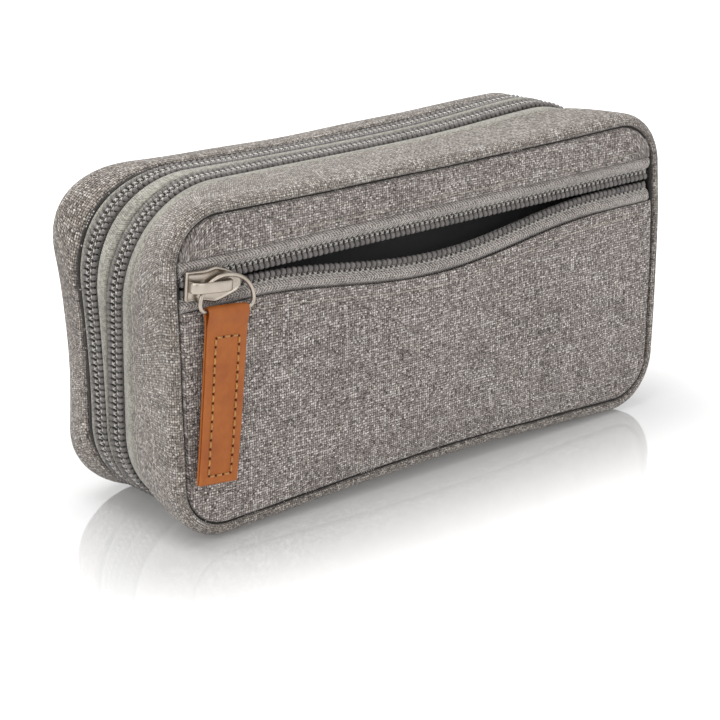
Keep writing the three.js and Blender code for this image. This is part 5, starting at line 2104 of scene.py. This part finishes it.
net_nylon = nylon_material("net_nylon", "a7a8a6", 0.5)
diagonal = math.sqrt(0.5)
rising = tubes("gel_net_rising", strands(1), STRAND, (diagonal, 0.0, -diagonal))
falling = tubes("gel_net_falling", strands(-1) - [0, 0.2 * MM, 0], STRAND, (diagonal, 0.0, diagonal))
border_half, border_foot = net_high[0] - NET_HEM / 2, net_low[2] + NET_HEM / 2
border = rounded_rectangle(border_half, border_foot, net_high[2] + 20 * MM, NET_CORNER, 300)
border = border[border[:, 1] < net_high[2] - 0.5 * MM]
steps = np.linalg.norm(np.diff(border, axis=0), axis=1)
border = np.roll(border, -(int(np.argmax(steps)) + 1), axis=0)  # starts after the gap at the top
border_path = together(border[:, 0], net_high[1] - 0.1 * MM, border[:, 1])
hem = closed_strip("gel_net_border", carry_section(border_path, Y_AXIS, 0.9 * MM, NET_HEM, 0.5, 12))
top_x = np.linspace(-net_high[0] + 0.6 * MM, net_high[0] - 0.6 * MM, 120)
top_z = net_high[2] - 2 * MM
top_path = together(top_x, net_depth(top_x, top_z) - 0.1 * MM, top_z)
top_hem = closed_strip("gel_net_top_elastic", carry_section(top_path, Z_AXIS, 4 * MM, 1.0 * MM, 0.5, 12))
dress(rising, net_nylon, "back_lid", "gel_pack_net")
dress(falling, net_nylon, "back_lid")
dress(hem, woven_elastic, "back_lid")
dress(top_hem, woven_elastic, "back_lid")
print("net has", len(rising.data.polygons) + len(falling.data.polygons), "faces")

# %% [markdown]
# ## The floor and the light
#
# A large soft lamp above, weaker ones from the left and the front, and a pale world light
# everything at a plain level, so a colour renders about as it is written. The white floor's
# gloss gives the mirror image under the case and fades with the distance from it. Camera
# rays also see the floor glow, more so further away, so it stays white under the shadow.

# %% Floor
FLOOR_HALF = 6.0
GLOSS_REACH = 85 * MM  # the mirror image fades out over this distance from the case
GLOW_REACH = 100 * MM
WHITE = (1.0, 1.0, 1.0, 1.0)

corner_signs = np.array([(-1, -1, 0), (1, -1, 0), (1, 1, 0), (-1, 1, 0)])
floor = make_object("floor", corner_signs * FLOOR_HALF, [[0, 1, 2, 3]])
floor.location.z = -0.3 * MM
shader = Shader("white_floor", "e4e4e4", 0.06)
shader.set("IOR", 2.4)
shader.set("Emission Color", WHITE)
beyond = []
for part, half_side in zip(shader.parts(shader.object_place(), 2), (CASE_LENGTH / 2, -FACE_Y)):
    off = shader.math("SUBTRACT", shader.math("ABSOLUTE", part), half_side)
    off = shader.math("MAXIMUM", off, 0.0)
    beyond.append(shader.times(off, off))
away = shader.math("SQRT", shader.plus(*beyond))
shader.set("Specular IOR Level", shader.span(away, 0.0, GLOSS_REACH, 1.0, 0.0))
glow = shader.span(away, 0.0, GLOW_REACH, 0.1, 0.6)
seen = shader.math("MINIMUM", shader.plus(shader.ray("Camera"), shader.ray("Glossy")), 1.0)
shader.set("Emission Strength", shader.times(seen, glow))
floor.data.materials.append(shader.material)
print("floor ready")


# %% Lamps and world
def soft_lamp(name, place, target, size, power):
    """A square area lamp at a place, turned to face a target."""
    data = bpy.data.lights.new(name, "AREA")
    data.size = size
    data.energy = power
    lamp = bpy.data.objects.new(name, data)
    lamp.location = place
    lamp.rotation_euler = (Vector(target) - Vector(place)).to_track_quat("-Z", "Y").to_euler()
    bpy.context.scene.collection.objects.link(lamp)


LAMP_TARGET = (0.0, 0.0, 0.05)
soft_lamp("top_lamp", (-0.15, 0.25, 1.2), LAMP_TARGET, 1.0, 12.0)
soft_lamp("left_lamp", (-1.2, -0.2, 0.7), LAMP_TARGET, 0.9, 4.5)
soft_lamp("front_lamp", (0.3, -1.5, 0.7), LAMP_TARGET, 0.9, 4.5)

WORLD_LIGHT = 0.52
world = bpy.data.worlds.new("studio")
sky = Nodes(world, "Background")
sky.set("Color", WHITE)
shown = sky.math("MAXIMUM", sky.ray("Camera"), sky.ray("Glossy"))
shown = sky.math("MAXIMUM", shown, sky.ray("Transmission"))
sky.set("Strength", sky.scaled(shown, 1.0 - WORLD_LIGHT, WORLD_LIGHT))
bpy.context.scene.world = world
bpy.context.scene.view_settings.view_transform = "Standard"
print("lamps ready")
